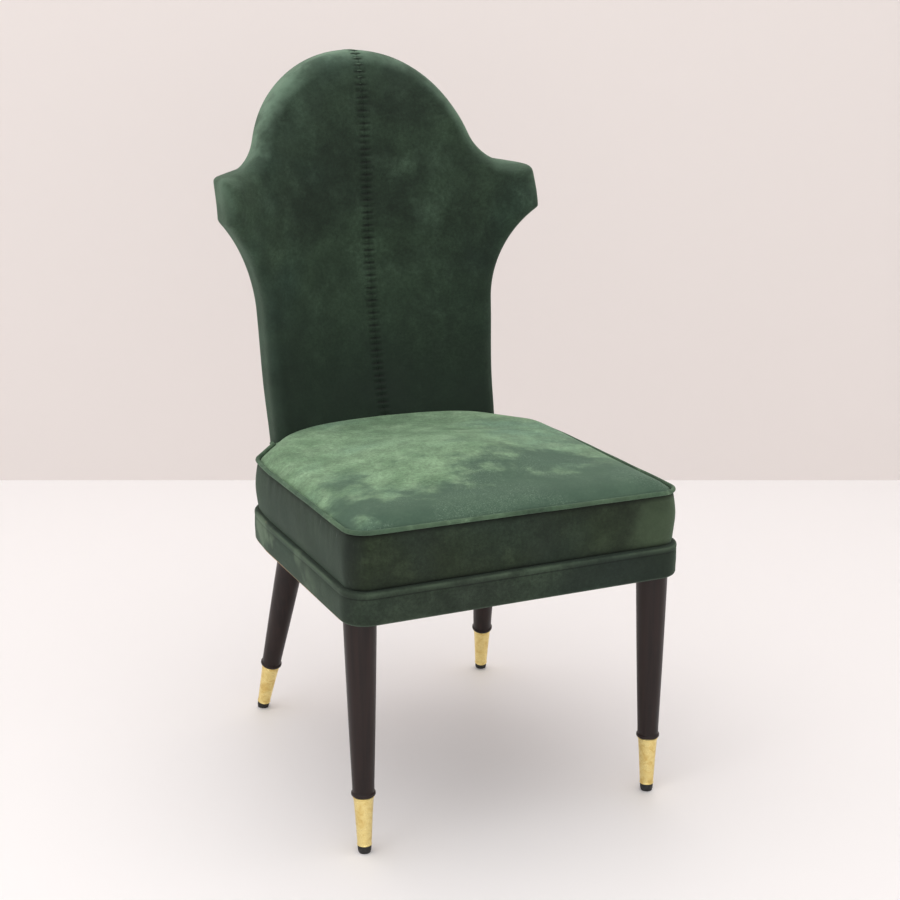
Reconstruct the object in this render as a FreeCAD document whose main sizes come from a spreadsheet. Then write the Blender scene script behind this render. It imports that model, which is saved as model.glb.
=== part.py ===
import FreeCAD, Part
import math
import os
import Sketcher
from FreeCAD import Placement, Rotation, Vector

# An upholstered dining chair. X is the sitter's left-right, Y runs from the seat's front edge to the
# back, Z is up. The origin lies on the floor under the middle of the chair's outer box. Millimetres.

os.makedirs("parts", exist_ok=True)
doc = FreeCAD.newDocument("dining_chair")

# ---------------------------------------------------------------------------------------------------
# Driving dimensions
# ---------------------------------------------------------------------------------------------------
DIMENSIONS = {
    "gap": (0.3, "clearance between neighbouring pieces"),
    "overall_height": (1070, "floor to the top of the arch"),
    "frame_bottom": (350, "underside of the seat frame, top of the legs"),
    "rail_height": (47, "seat rails and the leather band over them"),
    "boxing_height": (77.5, "side wall of the seat above the rails"),
    "seat_crown": (46.5, "rise of the seat's middle over its welt"),
    "dome_radius": (700, "roundness of the seat's top"),
    "dome_middle": (-85, "highest point of the seat, from the origin"),
    "seat_half_width": (262, "outside of the rail band"),
    "seat_front": (332, "origin to the front of the rail band"),
    "seat_corner_radius": (37, "front corners in plan"),
    "side_bend_start": (-2, "where the sides start to curve in"),
    "side_bend_radius": (730, "gentle curve of the sides"),
    "rear_corner_radius": (60, "rounded turn of the rear corners"),
    "seat_rear": (188, "closing line of the seat, inside the back"),
    "boxing_inset": (7.5, "boxing behind the face of the band"),
    "leather": (2.2, "thickness of the hide"),
    "board": (22, "thickness of the seat rails and the back frame"),
    "welt_radius": (3.3, "piping, outside of its cover"),
    "welt_cord_radius": (2.2, "cord inside the piping"),
    "spring_wire": (3.5, "diameter of the spring wire"),
    "spring_pitch": (24, "one bend of a sinuous spring"),
    "spring_straight": (28, "straight stretch between two bends"),
    "spring_spacing": (75, "from spring to spring"),
    "foam_inset": (15, "seat foam behind the face of the band"),
    "batting_inset": (12, "batting behind the face of the band"),
    "back_thickness": (62, "inside back to outside back"),
    "back_half_slab": (285, "half width of the slab that the outline is cut from"),
    "back_foam_back": (33.5, "depth of the foam's rear face"),
    "webbing_front": (34, "depth of the webbing's front face"),
    "webbing_back": (35.5, "depth of the webbing's rear face"),
    "frame_front": (36, "depth of the back frame's front face"),
    "outside_front": (58.3, "depth of the outside panel's front face"),
    "frame_inset": (9, "back frame behind the edge of the outline, covered by padding"),
    "skirt_height": (400, "where the inside back starts, below the seat's top"),
    "waist_half_width": (187, "back at the seat"),
    "waist_top": (680, "end of the straight part of the back's sides"),
    "waist_top_half_width": (196, "back where the flare starts"),
    "horn_half_width": (262, "back at the horns"),
    "horn_bottom": (832, "lower end of the horn's flat face"),
    "horn_top": (878, "upper end of the horn's flat face"),
    "arch_radius": (187, "round top of the back"),
    "post_width": (36, "posts of the back frame"),
    "front_foot_x": (229, "front legs, foot"),
    "front_foot_y": (-296, "front legs, foot"),
    "rear_foot_x": (202.9, "rear legs, foot"),
    "rear_foot_y": (232.2, "rear legs, foot"),
    "tip_radius": (9.6, "foot tip"),
    "tip_length": (10.7, "foot tip"),
    "ferrule_top": (87.5, "ferrule's upper end, along the leg"),
    "ferrule_radius_low": (10.2, "ferrule, lower end"),
    "ferrule_radius_high": (14.8, "ferrule, upper end"),
    "ferrule_wall": (1.2, "thickness of the brass"),
    "bead_radius": (17, "ring turned above the ferrule"),
    "bead_top": (93, "upper end of that ring, along the leg"),
    "leg_radius_low": (15.5, "leg above the ring"),
    "leg_radius_high": (23.5, "leg at the frame"),
    "bolt_radius": (4, "hanger bolts of the legs"),
    "bolt_length": (80, "hanger bolts of the legs"),
    "insert_radius": (6.5, "insert nuts of the legs"),
    "insert_length": (22, "insert nuts of the legs"),
    "screw_radius": (2.2, "shank of the corner blocks' screws"),
    "screw_head_radius": (4.2, "countersunk head of those screws"),
    "screw_head_height": (3, "countersunk head of those screws"),
    "clip_width": (20, "spring clips, across the spring"),
    "clip_length": (12, "spring clips, front to rear"),
    "clip_height": (5, "spring clips, over the rail"),
    "dowel_radius": (4, "dowels of the back frame"),
    "stitch_pitch": (10, "cross stitches down the centre seam"),
    "stitch_length": (14.5, "one cross stitch"),
    "stitch_radius": (1, "thread"),
}

sheet = doc.addObject("Spreadsheet::Sheet", "dims")
for row, (alias, (value, note)) in enumerate(DIMENSIONS.items(), start=1):
    sheet.set(f"A{row}", note)
    sheet.set(f"B{row}", str(value))
    sheet.setAlias(f"B{row}", alias)
doc.recompute()


def size(alias):
    return float(sheet.get(alias))


# Stations up the back: height, the inside back's place at the middle, its radius of wrap.
BACK_STATIONS = [
    (340, 156, 570),
    (430, 162, 560),
    (500, 177, 540),
    (560, 201, 420),
    (640, 219, 345),
    (740, 235, 328),
    (850, 242.5, 352),
    (910, 246, 430),
    (960, 251.5, 640),
    (1020, 260.5, 1100),
    (1085, 273, 1800),
]

# Tilt of the legs: how far the axis moves for each millimetre of height.
FRONT_LEAN = (0.0, 0.0149)
REAR_LEAN = (-0.1064, -0.2798)

# ---------------------------------------------------------------------------------------------------
# Helpers
# ---------------------------------------------------------------------------------------------------
kept = []


def bind(thing, sizes):
    for name, expression in sizes.items():
        thing.setExpression(name, expression)


def keep(thing, label):
    thing.Label = label
    kept.append(thing)
    return thing


def box(name, low, lengths):
    """A board whose lowest corner and side lengths are expressions."""
    board = doc.addObject("Part::Box", name)
    bind(board, dict(zip(("Length", "Width", "Height"), lengths)))
    bind(board, dict(zip(("Placement.Base.x", "Placement.Base.y", "Placement.Base.z"), low)))
    return board


def rod(name, radius, length, start, direction):
    """A cylinder from a point along a direction."""
    bar = doc.addObject("Part::Cylinder", name)
    bind(bar, {"Radius": radius, "Height": length})
    bar.Placement = Placement(Vector(start), Rotation(Vector(0, 0, 1), Vector(direction)))
    return bar


def boolean(kind, name, base, tool):
    result = doc.addObject(kind, name)
    result.Base = base
    result.Tool = tool
    return result


def cut(name, base, tool):
    return boolean("Part::Cut", name, base, tool)


def common(name, base, tool):
    return boolean("Part::Common", name, base, tool)


def group(name, members):
    bundle = doc.addObject("Part::Compound", name)
    bundle.Links = members
    return bundle


def new_body(name):
    return doc.addObject("PartDesign::Body", name)


def sketch_in(body, name, role, placement=Placement()):
    plane = next(item for item in body.Origin.OriginFeatures if item.Role == role)
    sketch = body.newObject("Sketcher::SketchObject", name)
    sketch.AttachmentSupport = [(plane, "")]
    sketch.MapMode = "FlatFace"
    sketch.AttachmentOffset = placement
    return sketch


def join_chain(sketch, count, closed):
    """Coincident ends along a run of edges drawn one after the other."""
    last = count if closed else count - 1
    for index in range(last):
        here, after = index, (index + 1) % count
        ends = [(sketch.getPoint(here, side) - sketch.getPoint(after, other)).Length
                for side in (1, 2) for other in (1, 2)]
        side, other = [(1, 1), (1, 2), (2, 1), (2, 2)][ends.index(min(ends))]
        sketch.addConstraint(Sketcher.Constraint("Coincident", here, side, after, other))


def draw(sketch, edges, closed=True):
    for edge in edges:
        sketch.addGeometry(edge, False)
    join_chain(sketch, len(edges), closed)


def polygon(points):
    corners = [Vector(*point) for point in points]
    return [Part.LineSegment(a, b) for a, b in zip(corners, corners[1:] + corners[:1])]


def arc(centre, radius, start, end):
    circle = Part.Circle(centre, Vector(0, 0, 1), radius)
    return Part.ArcOfCircle(circle, math.radians(start), math.radians(end))


def polar(centre, radius, degrees):
    angle = math.radians(degrees)
    return centre + Vector(radius * math.cos(angle), radius * math.sin(angle), 0)


def mirrored(point):
    return Vector(-point.x, point.y, point.z)


# ---------------------------------------------------------------------------------------------------
# Seat outline in plan, and the layers that follow it
# ---------------------------------------------------------------------------------------------------
def seat_side(inset):
    """Right-hand half of the seat's edge, from the front's middle to the back: arcs and corners."""
    front = -size("seat_front") + inset
    corner = size("seat_corner_radius") - inset
    bend = size("side_bend_radius") - inset
    turn = size("rear_corner_radius") - inset
    corner_centre = Vector(size("seat_half_width") - inset - corner, front + corner, 0)
    bend_centre = Vector(size("seat_half_width") - inset - bend, size("side_bend_start"), 0)
    turn_centre = polar(bend_centre, bend - turn, 6)
    turn_end = polar(turn_centre, turn, 35.5)
    along = polar(Vector(), 1, 125.5)
    rear = turn_end + along * ((size("seat_rear") - turn_end.y) / along.y)
    middle = Vector(0, front, 0)
    return [
        Part.LineSegment(middle, polar(corner_centre, corner, -90)),
        arc(corner_centre, corner, -90, 0),
        Part.LineSegment(polar(corner_centre, corner, 0), polar(bend_centre, bend, 0)),
        arc(bend_centre, bend, 0, 6),
        arc(turn_centre, turn, 6, 35.5),
        Part.LineSegment(turn_end, rear),
    ]


def other_side(edges):
    """The same edges mirrored across the chair's middle, in reverse order."""
    result = []
    for edge in reversed(edges):
        flipped = edge.copy()
        flipped.mirror(Vector(), Vector(0, 1, 0))
        result.append(flipped)
    return result


def straighten(edges):
    """Edges as lines and anticlockwise arcs, which is how a sketch holds them."""
    result = []
    for edge in edges:
        if isinstance(edge, Part.ArcOfCircle) and edge.Axis.z < 0:
            start, middle = edge.StartPoint, edge.value((edge.FirstParameter + edge.LastParameter) / 2)
            edge = Part.Arc(edge.EndPoint, middle, start)
        result.append(edge)
    return result


right_edges = seat_side(0)
left_edges = straighten(other_side(right_edges))
rear_right = right_edges[-1].EndPoint
seat_plan = doc.addObject("Sketcher::SketchObject", "seat_plan")
draw(seat_plan, right_edges + [Part.LineSegment(rear_right, mirrored(rear_right))] + left_edges)


def seat_layer(name, inset, bottom, height, rounding=None):
    """A solid that fills the seat's outline, moved in by an inset, with its top edge rounded."""
    offset = doc.addObject("Part::Offset2D", name + "_outline")
    offset.Source = seat_plan
    offset.Join = 2
    offset.setExpression("Value", f"-({inset})")
    block = doc.addObject("Part::Extrusion", name + "_block")
    block.Base = offset
    block.DirMode = "Custom"
    block.Dir = Vector(0, 0, 1)
    block.Solid = True
    bind(block, {"LengthFwd": height, "Placement.Base.z": bottom})
    if rounding is None:
        return block
    doc.recompute()
    top = max(vertex.Z for vertex in block.Shape.Vertexes)
    rims = [number for number, edge in enumerate(block.Shape.Edges, start=1)
            if all(abs(vertex.Z - top) < 0.01 for vertex in edge.Vertexes)]
    rounded = doc.addObject("Part::Fillet", name)
    rounded.Base = block
    rounded.Edges = [(number, rounding, rounding) for number in rims]
    return rounded


# ---------------------------------------------------------------------------------------------------
# The back: a wrapped slab in layers, and the keyhole outline it is cut to
# ---------------------------------------------------------------------------------------------------
def back_layer(name, front_depth, back_depth):
    """The wrapped slab between two depths behind the inside back, lofted up the stations."""
    body = new_body(name + "_slab")
    sections = []
    for number, (height, middle, wrap) in enumerate(BACK_STATIONS):
        level = Placement(Vector(0, 0, height), Rotation())
        sketch = sketch_in(body, f"{name}_section_{number}", "XY_Plane", level)
        centre = Vector(0, middle - wrap, 0)
        near = wrap + float(sketch.evalExpression(front_depth))
        far = wrap + float(sketch.evalExpression(back_depth))
        half_angle = math.degrees(math.asin(size("back_half_slab") / wrap))
        inner = arc(centre, near, 90 - half_angle, 90 + half_angle)
        outer = arc(centre, far, 90 - half_angle, 90 + half_angle)
        sketch.addGeometry([inner, Part.LineSegment(inner.EndPoint, outer.EndPoint), outer,
                            Part.LineSegment(outer.StartPoint, inner.StartPoint)], False)
        join_chain(sketch, 4, True)
        sketch.addConstraint([
            Sketcher.Constraint("Coincident", 0, 3, 2, 3),
            Sketcher.Constraint("PointOnObject", 0, 3, -2),
            Sketcher.Constraint("DistanceY", 0, 3, -1, 1, wrap - middle),
            Sketcher.Constraint("PointOnObject", 0, 3, 1),
            Sketcher.Constraint("PointOnObject", 0, 3, 3),
        ])
        near_radius = sketch.addConstraint(Sketcher.Constraint("Radius", 0, near))
        far_radius = sketch.addConstraint(Sketcher.Constraint("Radius", 2, far))
        sketch.setExpression(f"Constraints[{near_radius}]", f"{wrap} + {front_depth}")
        sketch.setExpression(f"Constraints[{far_radius}]", f"{wrap} + {back_depth}")
        sections.append(sketch)
    loft = body.newObject("PartDesign::AdditiveLoft", name + "_loft")
    loft.Profile = sections[0]
    loft.Sections = sections[1:]
    body.Tip = loft
    return body


def back_side():
    """Right-hand half of the back's outline, from the bottom to the top of the arch."""
    waist, waist_top = size("waist_half_width"), size("waist_top_half_width")
    horn, radius = size("horn_half_width"), size("arch_radius")
    top = size("overall_height")
    low = Vector(waist, size("frame_bottom"), 0)
    flare_start = Vector(waist_top, size("waist_top"), 0)
    horn_low = Vector(horn, size("horn_bottom"), 0)
    horn_high = Vector(horn, size("horn_top"), 0)
    flare = Part.Arc(flare_start, Vector(waist_top + 23, size("waist_top") + 92, 0), horn_low)
    arch_centre = Vector(0, top - radius, 0)
    arch_foot = polar(arch_centre, radius, 17)
    shoulder = Vector(arch_foot.x + 33, size("horn_top") + 21, 0)
    horn_tip = horn_high + Vector(-9, 10, 0)
    return [
        Part.LineSegment(low, flare_start),
        flare,
        Part.LineSegment(horn_low, horn_high),
        Part.Arc(horn_high, horn_high + Vector(-2.6, 7, 0), horn_tip),
        Part.LineSegment(horn_tip, shoulder),
        Part.Arc(shoulder, Vector(arch_foot.x + 13.5, shoulder.y + 15, 0), arch_foot),
        arc(arch_centre, radius, 17, 90),
    ]


right_outline = back_side()
back_plan = doc.addObject("Sketcher::SketchObject", "back_plan")
back_plan.Placement = Placement(Vector(), Rotation(Vector(1, 0, 0), 90))
draw(back_plan, [Part.LineSegment(mirrored(right_outline[0].StartPoint), right_outline[0].StartPoint)]
     + straighten(right_outline) + straighten(other_side(right_outline)))


def back_outline(name, inset):
    """A deep prism with the back's outline, moved in by an inset."""
    base = back_plan
    if inset != "0":
        base = doc.addObject("Part::Offset2D", name + "_outline")
        base.Source = back_plan
        base.Join = 2
        base.setExpression("Value", f"-({inset})")
    prism = doc.addObject("Part::Extrusion", name + "_prism")
    prism.Base = base
    prism.DirMode = "Custom"
    prism.Dir = Vector(0, 1, 0)
    prism.Solid = True
    prism.LengthFwd = 400
    return prism


def back_piece(name, front_depth, back_depth, inset):
    return common(name, back_layer(name, front_depth, back_depth), back_outline(name, inset))


back_clearance = back_piece("back_clearance", "0 - dims.gap", "dims.back_thickness + dims.gap",
                            "0 - dims.gap")

# ---------------------------------------------------------------------------------------------------
# Legs: a turned leg, its brass ferrule and its foot tip, on an axis that leans
# ---------------------------------------------------------------------------------------------------
CORNERS = {
    "front_left": (-1, "front", FRONT_LEAN),
    "front_right": (1, "front", FRONT_LEAN),
    "rear_left": (-1, "rear", REAR_LEAN),
    "rear_right": (1, "rear", REAR_LEAN),
}


def leg_axis(corner):
    side, end, lean = CORNERS[corner]
    foot = Vector(side * size(end + "_foot_x"), size(end + "_foot_y"), 0)
    return foot, Vector(side * lean[0], lean[1], 1)


def turned(name, profile, corner):
    """A body of revolution about its own Z axis, stood on a leg's axis. Profile: radius, height."""
    body = new_body(name + "_turned")
    sketch = sketch_in(body, name + "_profile", "XZ_Plane")
    draw(sketch, polygon(profile))
    for index, (radius, height) in enumerate(profile):
        for kind, value in (("DistanceX", radius), ("DistanceY", height)):
            sketch.addConstraint(Sketcher.Constraint(kind, -1, 1, index, 1, value))
    spin = body.newObject("PartDesign::Revolution", name + "_revolution")
    spin.Profile = sketch
    spin.ReferenceAxis = (sketch, ["V_Axis"])
    spin.Angle = 360
    body.Tip = spin
    foot, direction = leg_axis(corner)
    body.Placement = Placement(foot, Rotation(Vector(0, 0, 1), direction))
    return body


above_floor = box("above_floor", ("-400", "-400", "0"), ("800", "800", "dims.frame_bottom"))
hole_tools = []
hanger_bolts, insert_nuts = [], []
for corner in CORNERS:
    wall, gap = size("ferrule_wall"), size("gap")
    tip_top, ferrule_top = size("tip_length"), size("ferrule_top")
    low, high = size("ferrule_radius_low"), size("ferrule_radius_high")
    bore, bolt_start = size("bolt_radius") + 0.1, size("frame_bottom") - 45
    insert_start = size("frame_bottom") + 22
    leg = turned("leg_" + corner, [
        (0, tip_top + gap), (low - wall - gap, tip_top + gap), (high - wall - gap, ferrule_top + gap),
        (size("bead_radius") - 2.5, ferrule_top + gap), (size("bead_radius"), ferrule_top + 2.5),
        (size("bead_radius"), size("bead_top") - 2.5), (size("bead_radius") - 2.5, size("bead_top")),
        (size("leg_radius_low"), size("bead_top")), (size("leg_radius_high"), size("frame_bottom")),
        (size("leg_radius_high") + 0.8, size("frame_bottom") + 20), (bore, size("frame_bottom") + 20),
        (bore, bolt_start), (0, bolt_start)], corner)
    keep(common("leg_" + corner, leg, above_floor), "leg_" + corner)
    ferrule = turned("ferrule_" + corner, [
        (low - wall, tip_top), (low, tip_top), (high, ferrule_top), (high - wall, ferrule_top)], corner)
    keep(ferrule, "ferrule_" + corner)
    tip = turned("foot_tip_" + corner, [
        (0, -10), (size("tip_radius"), -10), (size("tip_radius"), tip_top - gap), (0, tip_top - gap)], corner)
    keep(common("foot_tip_" + corner, tip, above_floor), "foot_tip_" + corner)
    foot, direction = leg_axis(corner)
    upright = direction / direction.Length
    bolt = rod("hanger_bolt_" + corner, "dims.bolt_radius", "dims.bolt_length",
               foot + upright * (bolt_start + gap), direction)
    sleeve = rod("insert_sleeve_" + corner, "dims.insert_radius", "dims.insert_length",
                 foot + upright * insert_start, direction)
    thread = rod("insert_bore_" + corner, "dims.bolt_radius + 0.1", "dims.insert_length + 2",
                 foot + upright * (insert_start - 1), direction)
    hanger_bolts.append(bolt)
    insert_nuts.append(cut("insert_nut_" + corner, sleeve, thread))
    hole_tools.append(rod("bolt_hole_" + corner, "dims.bolt_radius + 0.2", "dims.bolt_length + 10",
                          foot + upright * (size("frame_bottom") - 5), direction))
    hole_tools.append(rod("insert_hole_" + corner, "dims.insert_radius + 0.05", "dims.insert_length + 1",
                          foot + upright * (insert_start - 0.5), direction))
keep(group("leg_hanger_bolts", hanger_bolts), "leg_hanger_bolts")
keep(group("leg_insert_nuts", insert_nuts), "leg_insert_nuts")

# ---------------------------------------------------------------------------------------------------
# Fasteners of the seat frame and the back frame, with the holes they go in
# ---------------------------------------------------------------------------------------------------
def screw(name, head, direction, length):
    """A countersunk wood screw pointing along a direction, and the hole that clears it."""
    head_point = Vector(*head)
    shank = rod(name + "_shank", "dims.screw_radius", str(length), head_point, direction)
    cap = doc.addObject("Part::Cone", name + "_head")
    bind(cap, {"Radius1": "dims.screw_head_radius", "Radius2": "dims.screw_radius",
               "Height": "dims.screw_head_height"})
    cap.Placement = shank.Placement
    hole_tools.append(rod(name + "_hole", "dims.screw_radius + 0.15", str(length + 1), head, direction))
    sink = doc.addObject("Part::Cone", name + "_sink")
    bind(sink, {"Radius1": "dims.screw_head_radius + 0.2", "Radius2": "dims.screw_radius + 0.1",
                "Height": "dims.screw_head_height + 0.2"})
    sink.Placement = shank.Placement
    hole_tools.append(sink)
    return boolean("Part::Fuse", name, shank, cap)


block_screws = []
for side, word in ((-1, "left"), (1, "right")):
    block_screws += [
        screw(f"screw_front_{word}_a", (side * 198, -280, 366), (0, -1, 0), 42),
        screw(f"screw_front_{word}_b", (side * 198, -280, 386), (0, -1, 0), 42),
        screw(f"screw_side_{word}_a", (side * 214, -262, 366), (side, 0, 0), 38),
        screw(f"screw_side_{word}_b", (side * 214, -262, 386), (side, 0, 0), 38),
        screw(f"screw_rear_{word}_a", (side * 215, 40, 366), (side, 0, 0), 38),
        screw(f"screw_rear_{word}_b", (side * 215, 40, 386), (side, 0, 0), 38),
    ]
keep(group("corner_block_screws", block_screws), "corner_block_screws")

back_bolts = []
for side in (-1, 1):
    for place in (146, 168):
        name = f"back_bolt_{'left' if side < 0 else 'right'}_{place}"
        wrap = BACK_STATIONS[0][2]
        surface = 158 - wrap + math.sqrt(wrap ** 2 - place ** 2)
        rear = Vector(side * place, surface + size("outside_front") - 6, 374)
        shank = rod(name + "_shank", "3", "46", rear, (0, -1, 0))
        cap = rod(name + "_head", "6.5", "3.5", rear, (0, -1, 0))
        back_bolts.append(boolean("Part::Fuse", name, shank, cap))
        hole_tools.append(rod(name + "_hole", "3.2", "48", rear, (0, -1, 0)))
        hole_tools.append(rod(name + "_sink", "7", "14", rear + Vector(0, 10, 0), (0, -1, 0)))
keep(group("back_bolts", back_bolts), "back_bolts")


def station_at(height):
    """Middle and wrap of the inside back at a height, between the stations."""
    for (z0, y0, r0), (z1, y1, r1) in zip(BACK_STATIONS, BACK_STATIONS[1:]):
        if z0 <= height <= z1:
            share = (height - z0) / (z1 - z0)
            return y0 + share * (y1 - y0), r0 + share * (r1 - r0)
    raise ValueError("height off the back")


dowels = []
for side in (-1, 1):
    for height in (420, 445, 815, 838):
        middle, wrap = station_at(height)
        depth = (size("frame_front") + size("outside_front")) / 2
        turn = math.asin((size("waist_half_width") - size("frame_inset") - size("post_width")) / wrap)
        reach = wrap + depth
        centre = Vector(side * reach * math.sin(turn), middle - wrap + reach * math.cos(turn), height)
        along = Vector(side * math.cos(turn), -math.sin(turn), 0)
        name = f"dowel_{'left' if side < 0 else 'right'}_{height}"
        dowels.append(rod(name, "dims.dowel_radius", "34", centre - along * 17, along))
        hole_tools.append(rod(name + "_hole", "dims.dowel_radius + 0.1", "36", centre - along * 18, along))
keep(group("back_dowels", dowels), "back_dowels")
fastener_holes = group("fastener_holes", hole_tools)


def drilled(label, blank):
    return keep(cut(label, blank, fastener_holes), label)


# ---------------------------------------------------------------------------------------------------
# Seat frame: four rails and four corner blocks
# ---------------------------------------------------------------------------------------------------
rail_side = "dims.seat_half_width - 4.3"
rail_front = "-(dims.seat_front - 3)"
drilled("seat_front_rail", box("front_rail_blank", ("-222", rail_front, "dims.frame_bottom"),
                               ("444", "dims.board", "dims.rail_height")))
drilled("seat_rear_rail", box("rear_rail_blank", ("-139", "78", "dims.frame_bottom"),
                              ("278", "dims.board", "dims.rail_height")))
drilled("seat_side_rail_left", box("left_rail_blank", (f"-({rail_side})", "-292", "dims.frame_bottom"),
                                   ("dims.board", "312", "dims.rail_height")))
drilled("seat_side_rail_right", box("right_rail_blank",
                                    (f"{rail_side} - dims.board", "-292", "dims.frame_bottom"),
                                    ("dims.board", "312", "dims.rail_height")))


def block(name, points, side):
    """A corner block: an upright prism on a plan drawn for the right-hand side."""
    body = new_body(name)
    sketch = sketch_in(body, name + "_plan", "XY_Plane")
    draw(sketch, polygon([(side * x, y) for x, y in points]))
    pad = body.newObject("PartDesign::Pad", name + "_pad")
    pad.Profile = sketch
    pad.setExpression("Length", "dims.rail_height")
    body.Tip = pad
    body.setExpression("Placement.Base.z", "dims.frame_bottom")
    return body


FRONT_BLOCK = [(222.3, -328), (240, -324), (252, -312), (256.5, -292.3), (235.4, -292.3), (235.4, -246),
               (214, -246), (184, -276), (184, -306.7), (222.3, -306.7)]
REAR_BLOCK = [(257.4, 20.3), (254, 72), (243, 101), (222, 130), (139.3, 150), (139.3, 60), (195, 60),
              (215, 20.3)]
post_zone = back_piece("post_zone", "dims.frame_front - dims.gap", "90", "0 - 20")
for side, word in ((-1, "left"), (1, "right")):
    drilled("corner_block_front_" + word, block("front_block_" + word, FRONT_BLOCK, side))
    rear_block = block("rear_block_" + word, REAR_BLOCK, side)
    drilled("corner_block_rear_" + word, cut("rear_block_fitted_" + word, rear_block, post_zone))

# ---------------------------------------------------------------------------------------------------
# Seat suspension: sinuous springs, clips, tie wires and the deck cloth
# ---------------------------------------------------------------------------------------------------
SPRING_BENDS = 17
rail_top = size("frame_bottom") + size("rail_height")
wire_height = rail_top + size("spring_wire") / 2 + 0.1
spring_front = -size("seat_front") + 18


def spring_edges():
    """Straight stretches across the seat, joined by half-round bends, from front to rear."""
    pitch, straight = size("spring_pitch"), size("spring_straight")
    edges = []
    for bend in range(SPRING_BENDS + 1):
        y = bend * pitch
        left, right = Vector(0, y, 0), Vector(straight, y, 0)
        edges.append(Part.LineSegment(left, right))
        if bend < SPRING_BENDS:
            outward, x = (1, straight) if bend % 2 == 0 else (-1, 0)
            edges.append(Part.Arc(Vector(x, y, 0), Vector(x + outward * pitch / 2, y + pitch / 2, 0),
                                  Vector(x, y + pitch, 0)))
    return edges


clips = []
for number in range(5):
    middle = (number - 2) * size("spring_spacing")
    spring = new_body(f"spring_{number + 1}")
    route = sketch_in(spring, f"spring_route_{number + 1}", "XY_Plane")
    draw(route, spring_edges(), closed=False)
    section = sketch_in(spring, f"spring_section_{number + 1}", "YZ_Plane")
    section.addGeometry(Part.Circle(Vector(), Vector(0, 0, 1), size("spring_wire") / 2), False)
    section.addConstraint(Sketcher.Constraint("Coincident", 0, 3, -1, 1))
    width = section.addConstraint(Sketcher.Constraint("Diameter", 0, size("spring_wire")))
    section.setExpression(f"Constraints[{width}]", "dims.spring_wire")
    pipe = spring.newObject("PartDesign::AdditivePipe", f"spring_pipe_{number + 1}")
    pipe.Profile = section
    pipe.Spine = route
    spring.Tip = pipe
    spring.Placement.Base = Vector(middle - size("spring_straight") / 2, spring_front, wire_height)
    keep(spring, f"seat_spring_{number + 1}")
    for end, y in (("front", spring_front), ("rear", spring_front + SPRING_BENDS * size("spring_pitch"))):
        plate = box(f"clip_plate_{end}_{number}",
                    (f"{middle} - dims.clip_width / 2", f"{y} - dims.clip_length / 2", f"{rail_top}"),
                    ("dims.clip_width", "dims.clip_length", "dims.clip_height"))
        channel = box(f"clip_channel_{end}_{number}",
                      (f"{middle - 1} - dims.clip_width / 2", f"{y} - 2", f"{rail_top}"),
                      ("dims.clip_width + 2", "4", "dims.clip_height - 1.1"))
        clips.append(cut(f"clip_{end}_{number}", plate, channel))
keep(group("spring_clips", clips), "spring_clips")
keep(group("spring_tie_wires", [
    rod(f"tie_wire_{number}", "1", "410", (-205, y, wire_height + size("spring_wire") / 2 + 1.2), (1, 0, 0))
    for number, y in enumerate((-216, -120, -24))]), "spring_tie_wires")
deck_height = rail_top + 5.6
deck = seat_layer("deck", "dims.foam_inset", str(deck_height), "1.2")
keep(cut("deck_cloth", deck, back_clearance), "deck_cloth")

# ---------------------------------------------------------------------------------------------------
# Seat padding and covers
# ---------------------------------------------------------------------------------------------------
foam_bottom = deck_height + 1.5
welt_height = rail_top + size("boxing_height")
crown = welt_height + size("seat_crown")


def domed_layer(name, inset, bottom, drop):
    """The seat's outline filled up to a dome, a set drop below the cover's outer face."""
    edge = seat_layer(name + "_edge", inset, str(bottom), f"{welt_height + 8 - drop - bottom}", 5)
    tall = seat_layer(name + "_tall", inset, str(bottom), f"{crown + 5 - bottom}")
    ball = doc.addObject("Part::Sphere", name + "_ball")
    ball.setExpression("Radius", f"dims.dome_radius - {drop}")
    bind(ball, {"Placement.Base.y": "dims.dome_middle", "Placement.Base.z": f"{crown} - dims.dome_radius"})
    return boolean("Part::Fuse", name, edge, common(name + "_cap", tall, ball))


foam = domed_layer("foam", "dims.foam_inset", foam_bottom, 14)
keep(cut("seat_foam", foam, back_clearance), "seat_foam")
batting = domed_layer("batting", "dims.batting_inset", foam_bottom, 2.5)
batting_core = domed_layer("batting_core", "dims.foam_inset - dims.gap", foam_bottom - 5, 13.5)
keep(cut("seat_batting", cut("batting_shell", batting, batting_core), back_clearance), "seat_batting")

panel_low = str(welt_height + size("welt_radius") + 0.3)
panel = domed_layer("panel", "dims.boxing_inset", foam_bottom, 0)
panel_core = domed_layer("panel_core", "dims.boxing_inset + dims.leather", foam_bottom - 5, size("leather"))
panel_zone = box("panel_zone", ("-400", "-400", panel_low), ("800", "800", "200"))
panel_shell = common("panel_cap", cut("panel_shell", panel, panel_core), panel_zone)
keep(cut("seat_top_panel", panel_shell, back_clearance), "seat_top_panel")

boxing_height = f"{welt_height - size('welt_radius') - 0.3 - rail_top - 0.3}"
boxing = seat_layer("boxing", "dims.boxing_inset", str(rail_top + 0.3), boxing_height)
boxing_core = seat_layer("boxing_core", "dims.boxing_inset + dims.leather", str(rail_top), "100")
keep(cut("seat_boxing", cut("boxing_wall", boxing, boxing_core), back_clearance), "seat_boxing")

band = seat_layer("band", "0", "dims.frame_bottom", "dims.rail_height")
band_core = seat_layer("band_core", "dims.leather", "dims.frame_bottom - 5", "dims.rail_height + 10")
keep(cut("rail_cover", cut("band_wall", band, band_core), back_clearance), "rail_cover")

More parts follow.
